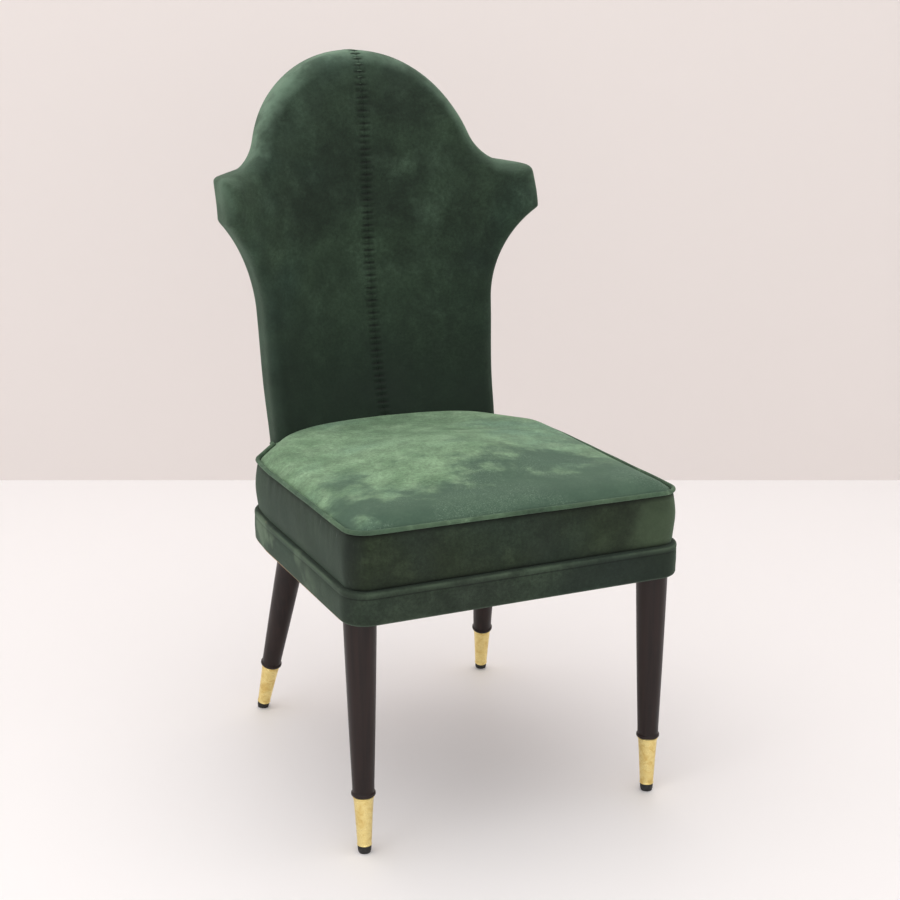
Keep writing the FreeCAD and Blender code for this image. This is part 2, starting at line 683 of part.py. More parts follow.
# The piping runs along the top edge of the boxing, from the back round the front to the back.
welt_inset = size("boxing_inset") - 0.9
welt_right = seat_side(welt_inset)
welt_route = doc.addObject("Sketcher::SketchObject", "welt_route")
draw(welt_route, straighten(other_side(welt_right)) + welt_right, closed=False)
welt_route.Placement.Base.z = welt_height
welt_end = mirrored(welt_right[-1].EndPoint) + Vector(0, 0, welt_height)
welt_direction = mirrored(polar(Vector(), 1, 125.5))


def piping(name, radius):
    ring = doc.addObject("Part::Circle", name + "_ring")
    ring.setExpression("Radius", radius)
    ring.Placement = Placement(welt_end, Rotation(Vector(0, 0, 1), welt_direction))
    sweep = doc.addObject("Part::Sweep", name + "_sweep")
    sweep.Sections = [ring]
    edge_count = len(welt_route.Geometry)
    sweep.Spine = (welt_route, [f"Edge{number + 1}" for number in range(edge_count)])
    sweep.Solid = True
    sweep.Frenet = False
    return sweep


welt_tube = cut("welt_tube", piping("welt_outer", "dims.welt_radius"),
                piping("welt_bore", "dims.welt_cord_radius + 0.1"))
keep(cut("seat_welt_cover", welt_tube, back_clearance), "seat_welt_cover")
keep(cut("seat_welt_cord", piping("welt_cord", "dims.welt_cord_radius"), back_clearance), "seat_welt_cord")

# Dust cover under the frame, clear of the legs and the back.
dust = seat_layer("dust", "8", "dims.frame_bottom - 1.3", "1")
dust_openings = [rod(f"dust_hole_{corner}", "dims.leg_radius_high + 3", "20", leg_axis(corner)[0]
                     + leg_axis(corner)[1] * (size("frame_bottom") - 10), (0, 0, 1)) for corner in CORNERS]
dust_rear = box("dust_rear", ("-400", "100", "dims.frame_bottom - 10"), ("800", "100", "20"))
keep(cut("dust_cover", dust, group("dust_openings", dust_openings + [dust_rear])), "dust_cover")

# ---------------------------------------------------------------------------------------------------
# Back: frame, webbing, foam, inside and outside covers, stitched centre seam
# ---------------------------------------------------------------------------------------------------
frame_blank = back_piece("back_frame", "dims.frame_front", "dims.outside_front - dims.gap",
                         "dims.frame_inset")
post_out = "dims.waist_half_width - dims.frame_inset - 0.5"
post_in = f"{post_out} - dims.post_width"
crest_bottom = "905"


def frame_part(label, low, lengths):
    zone = box(label + "_zone", low, lengths)
    return drilled(label, common(label + "_blank", frame_blank, zone))


frame_part("back_post_left", (f"-({post_out})", "0", "0"), ("dims.post_width", "500", crest_bottom))
frame_part("back_post_right", (post_in, "0", "0"), ("dims.post_width", "500", crest_bottom))
frame_part("wing_block_left", ("-400", "0", "700"), (f"400 - ({post_out}) - dims.gap", "500", "204"))
frame_part("wing_block_right", (f"{post_out} + dims.gap", "0", "700"), ("200", "500", "204"))
rail_low, rail_length = f"-({post_in} - dims.gap)", f"2 * ({post_in} - dims.gap)"
frame_part("back_lower_rail", (rail_low, "0", "405"), (rail_length, "500", "55"))
frame_part("back_shoulder_rail", (rail_low, "0", "800"), (rail_length, "500", "52"))
frame_part("back_crest", ("-400", "0", f"{crest_bottom} + dims.gap"), ("800", "500", "300"))

webbing_slab = back_piece("webbing", "dims.webbing_front", "dims.webbing_back", "5")
straps = [box(f"strap_zone_{number}", ("-170", "0", str(height)), ("340", "500", "50"))
          for number, height in enumerate((490, 570, 650, 730))]
keep(common("back_webbing", webbing_slab, group("strap_zones", straps)), "back_webbing")

above_skirt = box("above_skirt", ("-400", "0", "dims.skirt_height"), ("800", "500", "800"))
back_padding = back_piece("back_padding", "dims.leather + dims.gap", "dims.back_foam_back",
                          "dims.leather + dims.gap")
keep(common("back_foam", back_padding, above_skirt), "back_foam")
hide_outer = back_piece("hide_outer", "0", "dims.outside_front - dims.gap", "0")
hide_core = back_piece("hide_core", "dims.leather", "dims.outside_front + 5", "dims.leather")
hide = common("hide", cut("hide_shell", hide_outer, hide_core), above_skirt)
left_half = box("left_half", ("-400", "0", "0"), ("399.8", "500", "1200"))
right_half = box("right_half", ("0.2", "0", "0"), ("399.8", "500", "1200"))
keep(common("inside_back_left", hide, left_half), "inside_back_left")
keep(common("inside_back_right", hide, right_half), "inside_back_right")
outside_back = back_piece("outside_panel", "dims.outside_front", "dims.back_thickness", "0")
keep(outside_back, "outside_back")

# The stitches lie across the seam, evenly spaced along the curve that the inside back has there.
doc.recompute()
middle_slice = Part.makePlane(400, 800, Vector(0, 0, 300), Vector(1, 0, 0), Vector(0, 1, 0))
seam = hide_outer.Shape.section(middle_slice)
front_edge = min((edge for edge in seam.Edges if edge.Length > 300), key=lambda edge: edge.CenterOfMass.y)
stitches = []
for point in front_edge.discretize(Distance=size("stitch_pitch")):
    if size("frame_bottom") + 155 < point.z < size("overall_height") - 4:
        start = Vector(-size("stitch_length") / 2, point.y - size("stitch_radius") - 0.2, point.z)
        stitches.append(rod(f"stitch_{len(stitches)}", "dims.stitch_radius", "dims.stitch_length", start,
                            (1, 0, 0)))
keep(group("back_stitching", stitches), "back_stitching")

# ---------------------------------------------------------------------------------------------------
# Checks and export
# ---------------------------------------------------------------------------------------------------
doc.recompute()
for thing in doc.Objects:
    if "Invalid" in thing.State or "Error" in thing.State:
        raise RuntimeError(f"{thing.Name} failed: {thing.State}")
for piece in kept:
    if piece.Shape.isNull() or not piece.Shape.isValid() or not piece.Shape.Solids:
        raise RuntimeError(f"{piece.Label} has no valid solid")
    piece.Shape.exportStep(f"parts/{piece.Label}.step")
    print(f"{piece.Label:28s} {len(piece.Shape.Solids):3d} solids {piece.Shape.Volume / 1000:10.2f} cm3")
print(len(kept), "sub-parts")
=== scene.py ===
import math

import bpy
import numpy as np
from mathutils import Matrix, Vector
from mathutils import noise as ripples


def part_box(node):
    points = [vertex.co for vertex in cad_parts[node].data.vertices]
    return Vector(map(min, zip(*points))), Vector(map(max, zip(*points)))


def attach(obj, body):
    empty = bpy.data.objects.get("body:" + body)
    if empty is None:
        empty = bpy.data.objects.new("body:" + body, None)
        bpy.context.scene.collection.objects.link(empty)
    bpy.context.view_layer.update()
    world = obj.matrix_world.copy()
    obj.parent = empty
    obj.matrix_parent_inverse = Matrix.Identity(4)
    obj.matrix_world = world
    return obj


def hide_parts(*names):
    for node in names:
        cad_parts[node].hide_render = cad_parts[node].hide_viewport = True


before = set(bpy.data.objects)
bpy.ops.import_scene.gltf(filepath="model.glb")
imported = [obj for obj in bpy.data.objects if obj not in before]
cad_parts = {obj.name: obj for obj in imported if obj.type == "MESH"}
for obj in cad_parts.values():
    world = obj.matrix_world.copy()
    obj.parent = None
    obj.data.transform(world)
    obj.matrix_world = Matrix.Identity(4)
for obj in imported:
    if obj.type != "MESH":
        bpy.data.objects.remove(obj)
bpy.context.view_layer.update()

# ---------------------------------------------------------------------------------------------------
# The room: a pale painted floor and wall, lit by a big soft lamp overhead, a window on the left and a
# low fill from the front. The eye stands at head height in front of the seat and to its left.
# ---------------------------------------------------------------------------------------------------
scene = bpy.context.scene
scene.view_settings.view_transform = "Standard"
FLOOR_COLOUR = (0.93, 0.91, 0.915, 1)
WALL_COLOUR = (0.79, 0.73, 0.71, 1)
EYE = Vector((-1.01185, -2.30685, 1.19263))
EYE_TURN, EYE_DIP, EYE_LENS = 24.459, 15.726, 68.19
WALL_AWAY = 3.967
ROOM_SIZE = 14


def deselect():
    bpy.ops.object.select_all(action="DESELECT")


def select_only(thing):
    deselect()
    thing.select_set(True)
    bpy.context.view_layer.objects.active = thing


def finish_object(thing, name):
    """Names the active object and puts its place into its mesh."""
    thing.name = name
    thing.data.name = name
    select_only(thing)
    bpy.ops.object.transform_apply(location=True, rotation=True, scale=True)
    return thing


def new_material(name):
    material = bpy.data.materials.new(name)
    material.use_nodes = True
    return material, material.node_tree, material.node_tree.nodes["Principled BSDF"]


def plain_material(name, colour, roughness):
    material, _, shader = new_material(name)
    shader.inputs["Base Color"].default_value = colour
    shader.inputs["Roughness"].default_value = roughness
    return material


look = Vector((math.sin(math.radians(EYE_TURN)), math.cos(math.radians(EYE_TURN)), 0))
deselect()
bpy.ops.mesh.primitive_plane_add(size=ROOM_SIZE, location=(0, 0, -0.0005))
floor = finish_object(bpy.context.object, "floor")
floor.data.materials.append(plain_material("floor_paint", FLOOR_COLOUR, 0.5))

wall_foot = EYE + look * WALL_AWAY
bpy.ops.mesh.primitive_plane_add(size=ROOM_SIZE, location=(wall_foot.x, wall_foot.y, 6.99),
                                 rotation=(math.radians(90), 0, -math.radians(EYE_TURN)))
wall = finish_object(bpy.context.object, "wall")
wall_paint = plain_material("wall_paint", WALL_COLOUR, 0.8)
nodes, links = wall_paint.node_tree.nodes, wall_paint.node_tree.links
clear = nodes.new("ShaderNodeBsdfTransparent")
facing = nodes.new("ShaderNodeNewGeometry")
either = nodes.new("ShaderNodeMixShader")
links.new(facing.outputs["Backfacing"], either.inputs[0])
links.new(nodes["Principled BSDF"].outputs[0], either.inputs[1])
links.new(clear.outputs[0], either.inputs[2])
links.new(either.outputs[0], nodes["Material Output"].inputs["Surface"])
wall.data.materials.append(wall_paint)

world = bpy.data.worlds.new("room")
world.use_nodes = True
world.node_tree.nodes["Background"].inputs[0].default_value = (1.0, 0.985, 0.97, 1)
world.node_tree.nodes["Background"].inputs[1].default_value = 0.80
scene.world = world


def lamp(name, place, target, size, power, colour):
    data = bpy.data.lights.new(name, "AREA")
    data.shape = "RECTANGLE"
    data.size, data.size_y = size
    data.energy = power
    data.color = colour
    thing = bpy.data.objects.new(name, data)
    scene.collection.objects.link(thing)
    thing.location = place
    thing.rotation_euler = (Vector(target) - Vector(place)).to_track_quat("-Z", "Y").to_euler()


lamp("ceiling_lamp", (-0.2, 0.3, 3.0), (0, 0, 0.4), (4.4, 4.2), 50, (1.0, 0.985, 0.965))
lamp("window", (-2.6, -1.2, 2.1), (0, 0, 0.5), (1.6, 1.8), 8, (0.95, 0.98, 1.0))
lamp("front_fill", (-1.2, -3.6, 0.9), (0, 0.2, 0.2), (3.4, 1.6), 20, (1.0, 0.99, 0.98))

eye_data = bpy.data.cameras.new("eye")
eye_data.lens = EYE_LENS
eye_data.sensor_width = 36
eye = bpy.data.objects.new("eye", eye_data)
scene.collection.objects.link(eye)
eye.location = EYE
eye.rotation_euler = (math.radians(90 - EYE_DIP), 0, -math.radians(EYE_TURN))
scene.camera = eye

# ---------------------------------------------------------------------------------------------------
# Nubuck: every cover of the chair is cut from brushed green hide. The nap is short and lies unevenly,
# so the colour drifts in clouds, with paler rubbed patches and darker smears, and a very fine grain.
# ---------------------------------------------------------------------------------------------------
def group_socket(group, name, kind, value=None, out=False):
    socket = group.interface.new_socket(name=name, in_out="OUTPUT" if out else "INPUT", socket_type=kind)
    if value is not None:
        socket.default_value = value
    return socket


def add_node(tree, kind, **settings):
    node = tree.nodes.new(kind)
    for key, value in settings.items():
        setattr(node, key, value)
    return node


def noise(tree, vector, scale, detail, roughness=0.55, distortion=0.0):
    node = add_node(tree, "ShaderNodeTexNoise")
    node.inputs["Scale"].default_value = scale
    node.inputs["Detail"].default_value = detail
    node.inputs["Roughness"].default_value = roughness
    node.inputs["Distortion"].default_value = distortion
    if vector is not None:
        tree.links.new(vector, node.inputs["Vector"])
    return node.outputs["Fac"]


def spread(tree, value, low, high, out_low=0.0, out_high=1.0):
    node = add_node(tree, "ShaderNodeMapRange", clamp=True, interpolation_type="SMOOTHSTEP")
    tree.links.new(value, node.inputs["Value"])
    for key, number in (("From Min", low), ("From Max", high), ("To Min", out_low), ("To Max", out_high)):
        node.inputs[key].default_value = number
    return node.outputs["Result"]


def mixed(tree, share, first, second):
    node = add_node(tree, "ShaderNodeMix", data_type="RGBA")
    for socket, value in ((node.inputs[0], share), (node.inputs[6], first), (node.inputs[7], second)):
        if isinstance(value, bpy.types.NodeSocket):
            tree.links.new(value, socket)
        else:
            socket.default_value = value
    return node.outputs[2]


def calc(tree, operation, first, second):
    node = add_node(tree, "ShaderNodeMath", operation=operation)
    for socket, value in ((node.inputs[0], first), (node.inputs[1], second)):
        if isinstance(value, bpy.types.NodeSocket):
            tree.links.new(value, socket)
        else:
            socket.default_value = value
    return node.outputs[0]


def times(tree, *factors):
    """The product of two values or more."""
    product = factors[0]
    for factor in factors[1:]:
        product = calc(tree, "MULTIPLY", product, factor)
    return product


def make_nap_group():
    group = bpy.data.node_groups.new("brushed_nap", "ShaderNodeTree")
    for name in ("Deep", "Middle", "Rubbed", "Cool"):
        group_socket(group, name, "NodeSocketColor", (0.1, 0.1, 0.1, 1))
    for name, value in (("Cloud Scale", 7.0), ("Rub", 0.5), ("Streak", 0.5), ("Fleck", 0.5)):
        group_socket(group, name, "NodeSocketFloat", value)
    group_socket(group, "Colour", "NodeSocketColor", out=True)
    group_socket(group, "Roughness", "NodeSocketFloat", out=True)
    group_socket(group, "Height", "NodeSocketFloat", out=True)
    source = add_node(group, "NodeGroupInput").outputs
    target = add_node(group, "NodeGroupOutput").inputs
    place = add_node(group, "ShaderNodeTexCoord").outputs["Object"]

    scaled = add_node(group, "ShaderNodeVectorMath", operation="SCALE")
    group.links.new(place, scaled.inputs[0])
    group.links.new(source["Cloud Scale"], scaled.inputs["Scale"])
    clouds = noise(group, scaled.outputs[0], 1.0, 5, 0.6, 0.2)
    drift = noise(group, scaled.outputs[0], 0.42, 3, 0.5, 0.3)
    smears = noise(group, scaled.outputs[0], 2.1, 6, 0.66, 0.25)
    turned = add_node(group, "ShaderNodeMapping")
    turned.inputs["Rotation"].default_value = (0.2, 0.1, 0.7)
    turned.inputs["Scale"].default_value = (18, 95, 40)
    group.links.new(place, turned.inputs["Vector"])
    streaks = noise(group, turned.outputs[0], 1.0, 4, 0.6, 0.4)
    grain = noise(group, place, 950, 3, 0.6)
    fine = noise(group, place, 2600, 2, 0.5)
    pores = noise(group, place, 380, 5, 0.75)

    tone = mixed(group, spread(group, clouds, 0.34, 0.66), source["Deep"], source["Middle"])
    cool_share = times(group, spread(group, drift, 0.46, 0.68), 0.7)
    tone = mixed(group, cool_share, tone, source["Cool"])
    rubbed = times(group, spread(group, smears, 0.5, 0.74), source["Rub"])
    tone = mixed(group, rubbed, tone, source["Rubbed"])
    streaked = times(group, spread(group, streaks, 0.52, 0.78), source["Streak"])
    tone = mixed(group, times(group, streaked, 0.55), tone, source["Rubbed"])
    flecks = times(group, spread(group, pores, 0.56, 0.74), source["Fleck"])
    tone = mixed(group, times(group, flecks, 0.45), tone, source["Rubbed"])
    mottle = noise(group, place, 30, 5, 0.62, 0.15)
    pebbles = noise(group, place, 210, 5, 0.78)
    shade = times(group, spread(group, grain, 0.3, 0.7, 0.86, 1.12),
                 spread(group, mottle, 0.3, 0.7, 0.80, 1.20))
    shade = times(group, shade, spread(group, pebbles, 0.34, 0.66, 0.78, 1.22))
    bright = add_node(group, "ShaderNodeVectorMath", operation="SCALE")
    group.links.new(tone, bright.inputs[0])
    group.links.new(shade, bright.inputs["Scale"])
    group.links.new(bright.outputs[0], target["Colour"])
    group.links.new(spread(group, clouds, 0.3, 0.7, 0.78, 0.95), target["Roughness"])
    height = calc(group, "ADD", times(group, grain, 0.5), times(group, fine, 0.3))
    height = calc(group, "ADD", height, times(group, pores, 0.55))
    height = calc(group, "ADD", height, times(group, pebbles, 0.8))
    group.links.new(height, target["Height"])
    return group


nap_group = make_nap_group()


def linear(red, green, blue):
    """A colour as it is mixed, from the shade as it is seen, 0 to 255."""
    return tuple((c / 255 / 12.92 if c <= 10.3 else ((c / 255 + 0.055) / 1.055) ** 2.4)
                 for c in (red, green, blue)) + (1,)


def nubuck(name, deep, middle, rubbed, cool, cloud_scale, rub, streak, fleck, shade=None, wear_and_highlight_colour=None):
    """A nubuck material: edges rub to the worn colour, which is partly wear and partly painted highlight;
    painted shadow darkens the seams, and shade adds its own patches, some of them painted light and
    shade.
    """
    material, tree, shader = new_material(name)
    nap = add_node(tree, "ShaderNodeGroup", node_tree=nap_group)
    for key, colour in (("Deep", deep), ("Middle", middle), ("Rubbed", rubbed), ("Cool", cool)):
        nap.inputs[key].default_value = linear(*colour)
    for key, value in (("Cloud Scale", cloud_scale), ("Rub", rub), ("Streak", streak), ("Fleck", fleck)):
        nap.inputs[key].default_value = value
    place = add_node(tree, "ShaderNodeTexCoord").outputs["Object"]
    tone = nap.outputs["Colour"]
    if shade is not None:
        tone = shade(tree, place, tone)
    # Paler along rubbed edges: wear, and painted highlight on edges that catch the light.
    wear_and_highlight = add_node(tree, "ShaderNodeAttribute", attribute_name="wear_and_highlight").outputs["Fac"]
    patchy = spread(tree, noise(tree, place, 16, 4, 0.6), 0.35, 0.62, 0.25, 1)
    tone = mixed(tree, times(tree, wear_and_highlight, patchy, 0.75), tone,
                 linear(*(wear_and_highlight_colour or rubbed)))
    # Painted shadow: seams and gaps, and the hide just below each stitch, darken to a near black green.
    seam_shadow = add_node(tree, "ShaderNodeAttribute", attribute_name="seam_shadow").outputs["Fac"]
    tone = mixed(tree, times(tree, seam_shadow, 0.88), tone, linear(*(c * 0.36 for c in deep)))
    bump = add_node(tree, "ShaderNodeBump")
    bump.inputs["Strength"].default_value = 0.4
    bump.inputs["Distance"].default_value = 0.0007
    tree.links.new(nap.outputs["Height"], bump.inputs["Height"])
    tree.links.new(bump.outputs["Normal"], shader.inputs["Normal"])
    tree.links.new(tone, shader.inputs["Base Color"])
    tree.links.new(nap.outputs["Roughness"], shader.inputs["Roughness"])
    shader.inputs["Specular IOR Level"].default_value = 0.2
    shader.inputs["Sheen Weight"].default_value = 0.22
    shader.inputs["Sheen Roughness"].default_value = 0.45
    shader.inputs["Sheen Tint"].default_value = (0.55, 0.8, 0.6, 1)
    return material


def along_direction(tree, place, direction, low, high, waver=0.05, waver_scale=9.0):
    """A soft mask that grows along a direction, with an uneven front; it places painted light and shade
    as well as patches of the hide's own colour.
    """
    reach = add_node(tree, "ShaderNodeVectorMath", operation="DOT_PRODUCT")
    tree.links.new(place, reach.inputs[0])
    reach.inputs[1].default_value = direction
    uneven = spread(tree, noise(tree, place, waver_scale, 4, 0.6), 0.3, 0.7, -waver, waver)
    return spread(tree, calc(tree, "ADD", reach.outputs["Value"], uneven), low, high)


def back_shade(tree, place, tone):
    """Painted shade, darker towards the seat, and painted light, paler over the arch, most of all on its
    left.
    """
    # Painted shade: the lower back darkens towards the seat.
    tone = mixed(tree, times(tree, along_direction(tree, place, (0, 0, -1), -0.80, -0.50), 0.78),
                 tone, linear(25, 36, 29))
    # Painted light: paler over the arch, towards its upper left.
    return mixed(tree, times(tree, along_direction(tree, place, (-0.35, 0, 1), 0.98, 1.16, 0.05), 0.28),
                 tone, linear(78, 98, 84))


def seat_shade(tree, place, tone):
    """Darker and more blue over the front and right: painted shade."""
    # Painted shade over the front and right of the seat.
    cool = along_direction(tree, place, (0.42, -1, 0), 0.09, 0.24, 0.13, 8.0)
    tone = mixed(tree, times(tree, cool, 0.88), tone, linear(59, 81, 69))
    frost = spread(tree, noise(tree, place, 520, 6, 0.85), 0.52, 0.64)
    patch = spread(tree, noise(tree, place, 9, 4, 0.6), 0.42, 0.6)
    return mixed(tree, times(tree, frost, patch, 0.55), tone,
                 linear(160, 184, 160))


def boxing_shade(tree, place, tone):
    """Darker and greyer on the left-facing side, painted shade, with pale upright scuffs near the front
    corner, and sage on the right.
    """
    # Painted shade on the left-facing side.
    left_side_shade = along_direction(tree, place, (-1, 0, 0), 0.225, 0.262, 0.01)
    tone = mixed(tree, times(tree, left_side_shade, 0.8), tone, linear(26, 31, 31))
    sage = along_direction(tree, place, (1, 0, 0), 0.10, 0.25, 0.05)
    tone = mixed(tree, times(tree, sage, 0.55), tone, linear(76, 92, 70))
    upright = add_node(tree, "ShaderNodeMapping")
    upright.inputs["Scale"].default_value = (210, 210, 17)
    tree.links.new(place, upright.inputs["Vector"])
    scuffs = spread(tree, noise(tree, upright.outputs[0], 1.0, 3, 0.6), 0.60, 0.72)
    where = add_node(tree, "ShaderNodeVectorMath", operation="DISTANCE")
    tree.links.new(place, where.inputs[0])
    where.inputs[1].default_value = (-0.258, -0.262, 0.445)
    close = spread(tree, where.outputs["Value"], 0.02, 0.08, 1, 0)
    return mixed(tree, times(tree, scuffs, close, 0.4), tone,
                 linear(120, 130, 120))


def band_shade(tree, place, tone):
    """Darker on the left-facing side, painted shade; pale sage patches there towards the rear, and
    darkest at the front's right end.
    """
    # Painted shade on the left-facing side.
    left = along_direction(tree, place, (-1, 0, 0), 0.235, 0.258, 0.012, 14.0)
    tone = mixed(tree, times(tree, left, 0.6), tone, linear(30, 36, 32))
    patches = spread(tree, noise(tree, place, 10, 4, 0.6, 0.2), 0.48, 0.62)
    rear = along_direction(tree, place, (0, 1, 0), -0.24, 0.02, 0.08, 14.0)
    pale = times(tree, left, patches, rear)
    tone = mixed(tree, times(tree, pale, 0.75), tone, linear(96, 112, 92))
    return mixed(tree, times(tree, along_direction(tree, place, (1, 0, 0), 0.0, 0.2, 0.06), 0.7),
                 tone, linear(24, 32, 26))


back_hide = nubuck("back_nubuck", (29, 41, 31), (44, 59, 45), (72, 92, 75), (37, 56, 50),
                   cloud_scale=7.0, rub=0.32, streak=0.22, fleck=0.35, shade=back_shade,
                   wear_and_highlight_colour=(114, 140, 120))
seat_hide = nubuck("seat_nubuck", (100, 128, 98), (126, 154, 122), (150, 176, 144), (96, 128, 110),
                   cloud_scale=12.0, rub=0.45, streak=0.5, fleck=0.8, shade=seat_shade,
                   wear_and_highlight_colour=(110, 138, 112))
boxing_hide = nubuck("boxing_nubuck", (30, 38, 26), (41, 51, 35), (70, 84, 62), (36, 47, 40),
                     cloud_scale=9.0, rub=0.3, streak=0.2, fleck=0.3, shade=boxing_shade)
band_hide = nubuck("band_nubuck", (38, 47, 38), (47, 58, 46), (78, 94, 76), (36, 49, 46),
                   cloud_scale=8.0, rub=0.3, streak=0.2, fleck=0.3, shade=band_shade,
                   wear_and_highlight_colour=(84, 100, 82))
welt_hide = nubuck("welt_nubuck", (46, 64, 50), (66, 88, 68), (116, 140, 112), (56, 78, 64),
                   cloud_scale=14.0, rub=0.5, streak=0.3, fleck=0.4, wear_and_highlight_colour=(104, 128, 100))

# ---------------------------------------------------------------------------------------------------
# The back: one thick pad that wraps round the sitter, narrow at the waist, with two horns and a round
# arch. It is padded over a wooden frame. Its front is two hides that meet in the middle, its rear one.
# ---------------------------------------------------------------------------------------------------
BACK_DEPTH, FRONT_ROUND, REAR_ROUND, REAR_SEAM = 0.062, 0.024, 0.014, 0.0572
# Height, distance back of the front's middle, and radius of the wrap round the sitter.
WRAP = np.array([(0.340, 0.156, 0.570), (0.430, 0.162, 0.560), (0.500, 0.177, 0.540),
                 (0.560, 0.201, 0.420), (0.640, 0.219, 0.345), (0.740, 0.235, 0.328),
                 (0.850, 0.2425, 0.352), (0.910, 0.246, 0.430), (0.960, 0.2515, 0.640),
                 (1.020, 0.2605, 1.100), (1.085, 0.273, 1.800)])


def swing(cx, cy, radius, start, end, count):
    """Points along an arc, angles in degrees, without its first point."""
    angles = np.radians(np.linspace(start, end, count + 1)[1:])
    return [(cx + radius * math.cos(a), cy + radius * math.sin(a)) for a in angles]


def through(first, second, third, count):
    """Points along the arc through three points, without its first point."""
    (ax, ay), (bx, by), (cx, cy) = first, second, third
    d = 2 * (ax * (by - cy) + bx * (cy - ay) + cx * (ay - by))
    a2, b2, c2 = ax * ax + ay * ay, bx * bx + by * by, cx * cx + cy * cy
    ux = (a2 * (by - cy) + b2 * (cy - ay) + c2 * (ay - by)) / d
    uy = (a2 * (cx - bx) + b2 * (ax - cx) + c2 * (bx - ax)) / d
    start = math.degrees(math.atan2(ay - uy, ax - ux))
    end = math.degrees(math.atan2(cy - uy, cx - ux))
    end = start + (end - start + 180) % 360 - 180
    return swing(ux, uy, math.hypot(ax - ux, ay - uy), start, end, count)


def straight(first, last, count):
    return [tuple(np.array(first) + (np.array(last) - np.array(first)) * i / count)
            for i in range(1, count + 1)]


FOOT_HALF, FOOT_GAIN, FOOT_HEIGHT, WAIST_RISE = 0.187, 0.009, 0.35, 0.33


def half_width(height):
    """Half the back's width between its foot and its waist."""
    return FOOT_HALF + FOOT_GAIN * (height - FOOT_HEIGHT) / WAIST_RISE


def back_edge(bottom):
    """The back's right edge from its foot to the top of the arch, and then down its left edge."""
    foot = (half_width(bottom), bottom)
    line = [foot] + straight(foot, (0.196, 0.680), 60)
    line += through((0.196, 0.680), (0.2205, 0.768), (0.262, 0.8245), 40)
    line += straight((0.262, 0.8245), (0.262, 0.881), 10)
    line += through((0.262, 0.881), (0.2592, 0.8879), (0.252, 0.8908), 6)
    line += straight((0.252, 0.8908), (0.21183, 0.8975), 10)
    line += through((0.21183, 0.8975), (0.1920, 0.9135), (0.17883, 0.93767), 12)
    line += swing(0, 0.883, 0.187, math.degrees(math.atan2(0.05467, 0.17883)), 90, 60)
    return line + [(-x, z) for x, z in reversed(line[:-1])]


def rise_table():
    """How far back the pad stands and how tightly it wraps, smoothed over its height."""
    heights = np.arange(0.30, 1.12, 0.001)
    low, high = WRAP[0], WRAP[-1]
    lines = []
    for column in (1, 2):
        values = np.interp(heights, WRAP[:, 0], WRAP[:, column])
        before = heights < low[0]
        after = heights > high[0]
        slope_low = (WRAP[1, column] - low[column]) / (WRAP[1, 0] - low[0])
        slope_high = (high[column] - WRAP[-2, column]) / (high[0] - WRAP[-2, 0])
        values[before] = low[column] + slope_low * (heights[before] - low[0])
        values[after] = high[column] + slope_high * (heights[after] - high[0])
        kernel = np.hanning(61)
        padded = np.pad(values, 30, mode="reflect", reflect_type="odd")
        lines.append(np.convolve(padded, kernel / kernel.sum(), mode="valid"))
    return heights, lines[0], lines[1]


RISE, MIDDLE, CURL = rise_table()
# The foot of the back kicks out a little, over the bolted ends of the posts.
KICK, KICK_HEIGHT, KICK_SPREAD = 0.0200, 0.370, 0.0430
MIDDLE += KICK * np.exp(-((RISE - KICK_HEIGHT) / KICK_SPREAD) ** 2)


def wrap(x, depth, z):
    """From the flat pad to the chair: the pad curls forward about an upright axis."""
    radius = np.interp(z, RISE, CURL)
    return np.interp(z, RISE, MIDDLE) - radius + np.sqrt((radius + depth) ** 2 - x ** 2)


def corners_of(thing):
    places = np.empty(len(thing.data.vertices) * 3)
    thing.data.vertices.foreach_get("co", places)
    return places.reshape(-1, 3)


def set_corners(thing, places):
    thing.data.vertices.foreach_set("co", places.reshape(-1))
    thing.data.update()


def edge_distance(x, z, line):
    """Distance to a line, and the direction that leads inwards from it."""
    points = np.array(line)
    starts, ends = points[:-1], points[1:]
    along = ends - starts
    lengths = (along ** 2).sum(axis=1)
    best = np.full(len(x), 9.0)
    inward = np.zeros((len(x), 2))
    for start, step, length in zip(starts, along, lengths):
        share = np.clip(((x - start[0]) * step[0] + (z - start[1]) * step[1]) / length, 0, 1)
        dx, dz = x - start[0] - share * step[0], z - start[1] - share * step[1]
        away = np.hypot(dx, dz)
        nearer = away < best
        best[nearer] = away[nearer]
        inward[nearer] = np.array((-step[1], step[0])) / math.sqrt(length)
    return best, inward


def rounded_edge(distance, depth, radius):
    """A square edge turned into a round one: new distance from the side, new depth."""
    u, v = np.clip(radius - distance, 0, None), np.clip(radius - depth, 0, None)
    both = (u > 0) & (v > 0)
    long = np.maximum(u, v)
    span = np.hypot(u, v)
    share = np.where(both, long / np.where(span > 0, span, 1), 1)
    return (np.where(both, radius - u * share, distance), np.where(both, radius - v * share, depth))


def slab(name, line, depth, voxel):
    """A flat pad with this outline, standing on the outline's foot, of small even faces."""
    deselect()
    bpy.ops.mesh.primitive_circle_add(vertices=len(line), radius=0.3)
    thing = bpy.context.object
    thing.name = name
    for vertex, (x, z) in zip(thing.data.vertices, line):
        vertex.co = (x, 0, z)
    bpy.ops.object.mode_set(mode="EDIT")
    bpy.ops.mesh.select_all(action="SELECT")
    bpy.ops.mesh.edge_face_add()
    bpy.ops.mesh.extrude_region_move(TRANSFORM_OT_translate={"value": (0, depth, 0)})
    bpy.ops.mesh.select_all(action="SELECT")
    bpy.ops.mesh.normals_make_consistent(inside=False)
    bpy.ops.object.mode_set(mode="OBJECT")
    thing.data.remesh_voxel_size = voxel
    bpy.ops.object.voxel_remesh()
    return thing


def copy_of(thing, name):
    twin = thing.copy()
    twin.data = thing.data.copy()
    twin.name = name
    twin.data.name = name
    scene.collection.objects.link(twin)
    return twin


